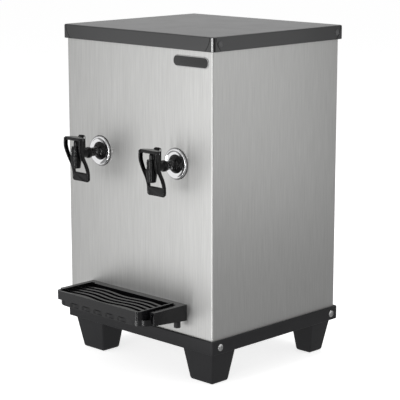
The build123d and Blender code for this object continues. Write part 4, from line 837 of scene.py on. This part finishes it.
def bar_along(centres, width, depths, corner):
    """A bar whose cross sections are rounded rectangles in x and y, stacked through the given centres."""
    rings = []
    for centre, depth in zip(centres, depths):
        half = np.array([width, depth]) / 2
        outline = rounded_outline(centre[:2] - half, centre[:2] + half, corner, BLOCK_CORNER_STEPS)[0]
        rings.append(flat_ring(outline, centre[2]))
    return shell(np.stack(rings, 1))


def spline_through(knots, count):
    """Cubic Hermite curve through the knots, its slopes by central differences, at evenly spaced heights."""
    knots = np.array(knots)
    z = np.linspace(knots[0, 0], knots[-1, 0], count)
    slopes = np.gradient(knots[:, 1:], knots[:, 0], axis=0)
    place = np.clip(np.searchsorted(knots[:, 0], z) - 1, 0, len(knots) - 2)
    h = np.diff(knots[:, 0])[place][:, None]
    t = ((z - knots[place, 0]) / h[:, 0])[:, None]
    value = (2 * t**3 - 3 * t**2 + 1) * knots[place, 1:] + (t**3 - 2 * t**2 + t) * slopes[place] * h
    value += (3 * t**2 - 2 * t**3) * knots[place + 1, 1:] + (t**3 - t**2) * slopes[place + 1] * h
    return z, value


def arm_shells(x, spout_y, bottom):
    """The lever's two arms, along the spline through ARM_LINE."""
    z, line = spline_through(ARM_LINE, ARM_STEPS)
    y, half, depth = line.T * MM
    for sign in (-1, 1):
        centres = np.stack([x + sign * half, spout_y + y, bottom + z * MM], 1)
        yield bar_along(centres, ARM_THICKNESS, depth, ARM_CORNER)


def paddle_shell(x, spout_y, bottom):
    """The paddle, its middle set back: y falls off from it with the square of x."""
    low, high = (x - PADDLE_HALF, bottom), (x + PADDLE_HALF, bottom + PADDLE_HEIGHT)
    outline, normals = rounded_outline(low, high, PADDLE_CORNER, steps=8, side_steps=24)
    grid = carried(outline, normals, soft_rim(PADDLE_HALF_THICK, PADDLE_SOFT))
    hollow = PADDLE_HOLLOW * (1 - ((grid[..., 0] - x) / PADDLE_HALF) ** 2)
    paddle_y = spout_y + ARM_LINE[0][1] * MM - PADDLE_HOLLOW / 2
    return shell(np.stack([grid[..., 0], paddle_y + grid[..., 2] + hollow, grid[..., 1]], 2))


def plate_shell(x, spout_y, under, top):
    """The flared top plate: a soft-edged section whose half width follows PLATE_ROWS from front to back."""
    soft = PLATE_SOFT
    rows = []
    for y, half_width in PLATE_ROWS:
        h = half_width * MM
        section = [(x - h, under), (x - h, top - soft), (x - h + soft, top)]
        section += [(x + h - soft, top), (x + h, top - soft), (x + h, under)]
        rows.append([(px, spout_y - PLATE_OVERHANG + y * MM, pz) for px, pz in section])
    return shell(np.array(rows).transpose(1, 0, 2))


def make_lever(side, x, spout_y, post_y, pin_z):
    """A looped lever: two arms, a hollow paddle, a flared top plate, and a tongue with an eye."""
    top = pin_z + PLATE_DROP
    under = top - PLATE_THICKNESS
    bottom = box_of(f"{side}_tap_lever")[0][2]
    shells = [*arm_shells(x, spout_y, bottom), paddle_shell(x, spout_y, bottom)]
    shells.append(plate_shell(x, spout_y, under, top))
    start, end = x - TONGUE_HALF, x + TONGUE_HALF
    eye = [(POLE, start), (EYE_RADIUS, start), (EYE_RADIUS, end), (POLE, end)]
    shells.append(shell(turned(eye, (0, post_y, pin_z), "X", EYE_STEPS)))
    tongue_low = (start, post_y - POST_DEPTH / 2 - TONGUE_REACH, under)
    shells.append(block_shell(tongue_low, (end, post_y, top), TONGUE_CORNER))
    lever = moulded(f"{side}_lever_loop", shells)
    fitted(lever, f"{side}_lever", TAP_BLACK, "black_plastic", f"{side}_tap_lever")


for side in ("left", "right"):
    make_tap(side)


# Drip tray

PAN_FACE_HEIGHT = 8.8 * MM
FLUTE_PITCH = 25.0 * MM
FLUTE_SWELL = 1.7 * MM
FLUTE_COUNT = 5
FLUTE_RIM = 0.6 * MM
FLUTE_SINK = 0.2 * MM
FLUTE_BACK = 1.0 * MM
FLUTE_STEPS = 50
FLUTE_ROWS = 17


def make_flutes():
    """Upright swellings on the pan's face: forward by a raised cosine of x, fading to the rims as 1 - t^4."""
    low, high = box_of("drip_pan")
    middle = (low[0] + high[0]) / 2
    reach = FLUTE_PITCH * FLUTE_COUNT / 2
    x = np.linspace(-reach, reach, FLUTE_STEPS * FLUTE_COUNT + 1)
    t = np.linspace(-1, 1, FLUTE_ROWS)
    swell = FLUTE_SWELL / 2 * (1 - np.cos(2 * pi * (x + reach) / FLUTE_PITCH))
    forward = (1 - t[:, None] ** 4) * swell - FLUTE_SINK
    section = np.concatenate([forward, np.full((2, len(x)), -FLUTE_BACK)])
    half = PAN_FACE_HEIGHT / 2 - FLUTE_RIM
    z = low[2] + PAN_FACE_HEIGHT / 2 + half * np.concatenate([t, [1, -1]])
    across = np.broadcast_to(middle + x, section.shape)
    grid = np.stack([across, low[1] - section, np.broadcast_to(z[:, None], section.shape)], 2)
    fitted(new_mesh("pan_flutes", [shell(grid)], smooth_angle=60.0), "pan", TRAY_BLACK, "black_plastic")


make_flutes()
for name, node, radius, body, finish in (
    ("drip_pan_tray", "drip_pan", 0.9 * MM, "pan", TRAY_BLACK),
    ("tray_ledge", "tray_housing", 0.7 * MM, "cooler", TRAY_BLACK),
    ("grille_loop", "drip_grille", 0.6 * MM, "grille", TRAY_BLACK),
    ("tray_peg_pair", "tray_pegs", 0.6 * MM, "cooler", BLACK),
):
    fitted(softened(name, node, radius), body, finish, "black_plastic", node)


# CAD nodes that keep their shape

KEPT = {
    ZINC: ["back_panel", "base_plate", "tank_shelf", "fan_shroud"],
    SCREW_STEEL: [
        "back_panel_screws", "foot_bolts", "lever_pins", "mains_pins", "tray_screws",
        "left_tap_spring", "right_tap_spring",
    ],
    BLACK: ["fan_rotor", "mains_inlet", "tap_back_nuts", "tap_elbows", "thermostat", "thermostat_knob"],
    RUBBER: ["compressor_mounts", "left_valve_seal", "right_valve_seal", "tap_gaskets"],
    BRASS: ["float_valve", "water_inlet", "water_inlet_nut"],
    COPPER: ["filter_drier", "refrigerant_tubes"],
    ALUMINIUM: ["condenser", "evaporator_jacket"],
    WHITE_PLASTIC: ["float_arm", "tank_cover"],
    HOSE: ["inlet_tube", "tap_hoses"],
    FOAM: ["tank_insulation"],
    POT_ENAMEL: ["compressor", "fan_motor"],
    TANK_STEEL: ["tank"],
}
for finish, names in KEPT.items():
    for name in names:
        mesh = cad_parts[name].data
        mesh.materials.clear()
        mesh.materials.append(finish)


# Floor, light and camera

FLOOR_REACH = 30.0
WORLD_GLOW = 0.3


def stage_sheet(name, corners, grey, glow):
    """A flat sheet of the studio, which isn't part of the cooler; it casts no shadow."""
    mesh = bpy.data.meshes.new(name)
    mesh.from_pydata(corners, [], [(0, 1, 2, 3)])
    sheet = placed(name, mesh)
    finish = Finish(name, (grey, grey, grey), Roughness=0.7, Emission_Strength=glow, Specular_IOR_Level=0.0)
    finish.shader.inputs["Emission Color"].default_value = (1, 1, 1, 1)
    mesh.materials.append(finish.material)
    sheet.visible_shadow = False
    return sheet


def make_floor():
    """A wide pale floor; shiny faces mirror the cards instead of it."""
    size = FLOOR_REACH
    corners = [(-size, -size, 0), (size, -size, 0), (size, size, 0), (-size, size, 0)]
    stage_sheet("pale_floor", corners, grey=0.8, glow=0.75).visible_glossy = False


def make_card(name, heading, distance, reach, rise, glow):
    """A glowing card on edge that the panels mirror, out of the camera's sight; reach and rise are spans."""
    turn = radians(heading)
    out = np.array([np.cos(turn), np.sin(turn), 0.0])
    along = np.array([-out[1], out[0], 0.0])
    feet = [distance * out + along * side for side in reach]
    corners = [tuple(point + [0, 0, z]) for point, z in zip((*feet, *feet[::-1]), np.repeat(rise, 2))]
    stage_sheet(name, corners, grey=0.0, glow=glow).visible_camera = False


def make_light(name, place, target, size, power):
    """A rectangular lamp that faces its target, out of the camera's sight."""
    light = bpy.data.lights.new(name, "AREA")
    light.shape = "RECTANGLE"
    light.size, light.size_y = size
    light.energy = power
    lamp = placed(name, light)
    lamp.location = place
    lamp.rotation_euler = (Vector(target) - Vector(place)).to_track_quat("-Z", "Y").to_euler()
    lamp.visible_camera = False


def make_world():
    world = bpy.data.worlds.new("studio")
    bpy.context.scene.world = world
    world.use_nodes = True
    background = world.node_tree.nodes["Background"].inputs
    background["Color"].default_value = (1, 1, 1, 1)
    background["Strength"].default_value = WORLD_GLOW


def make_camera():
    lens = bpy.data.cameras.new("camera")
    lens.lens = CAMERA_LENS
    lens.sensor_width = 36.0
    lens.clip_end = 100.0
    camera = placed("camera", lens)
    camera.location = CAMERA_PLACE
    camera.rotation_euler = CAMERA_TURN
    bpy.context.scene.camera = camera


make_floor()
make_card("left_card", heading=225, distance=0.8, reach=(-0.1, 1.3), rise=(-0.22, 1.4), glow=0.99)
make_card("right_card", heading=44.4, distance=0.62, reach=(-1.2, 0.01), rise=(0.14, 1.4), glow=0.85)
make_card("back_card", heading=135, distance=1.0, reach=(-0.8, 0.8), rise=(0.3, 1.4), glow=0.72)
make_world()
make_light("front_box", (0.15, -1.05, 0.5), target=(0.05, 0, 0.4), size=(0.35, 0.7), power=1)
make_light("front_strip", (-0.05, -0.98, -0.05), target=(-0.05, 0, 0.1), size=(0.04, 0.8), power=2)
make_light("near_strip", (0.72, -1.16, 0.0), target=(0, 0, 0.1), size=(0.04, 1.0), power=2.6)
make_light("top_box", (-0.4, 0.6, 2.2), target=(0, 0, 0.3), size=(1.6, 1.6), power=18)
make_camera()
bpy.context.scene.view_settings.view_transform = "Standard"
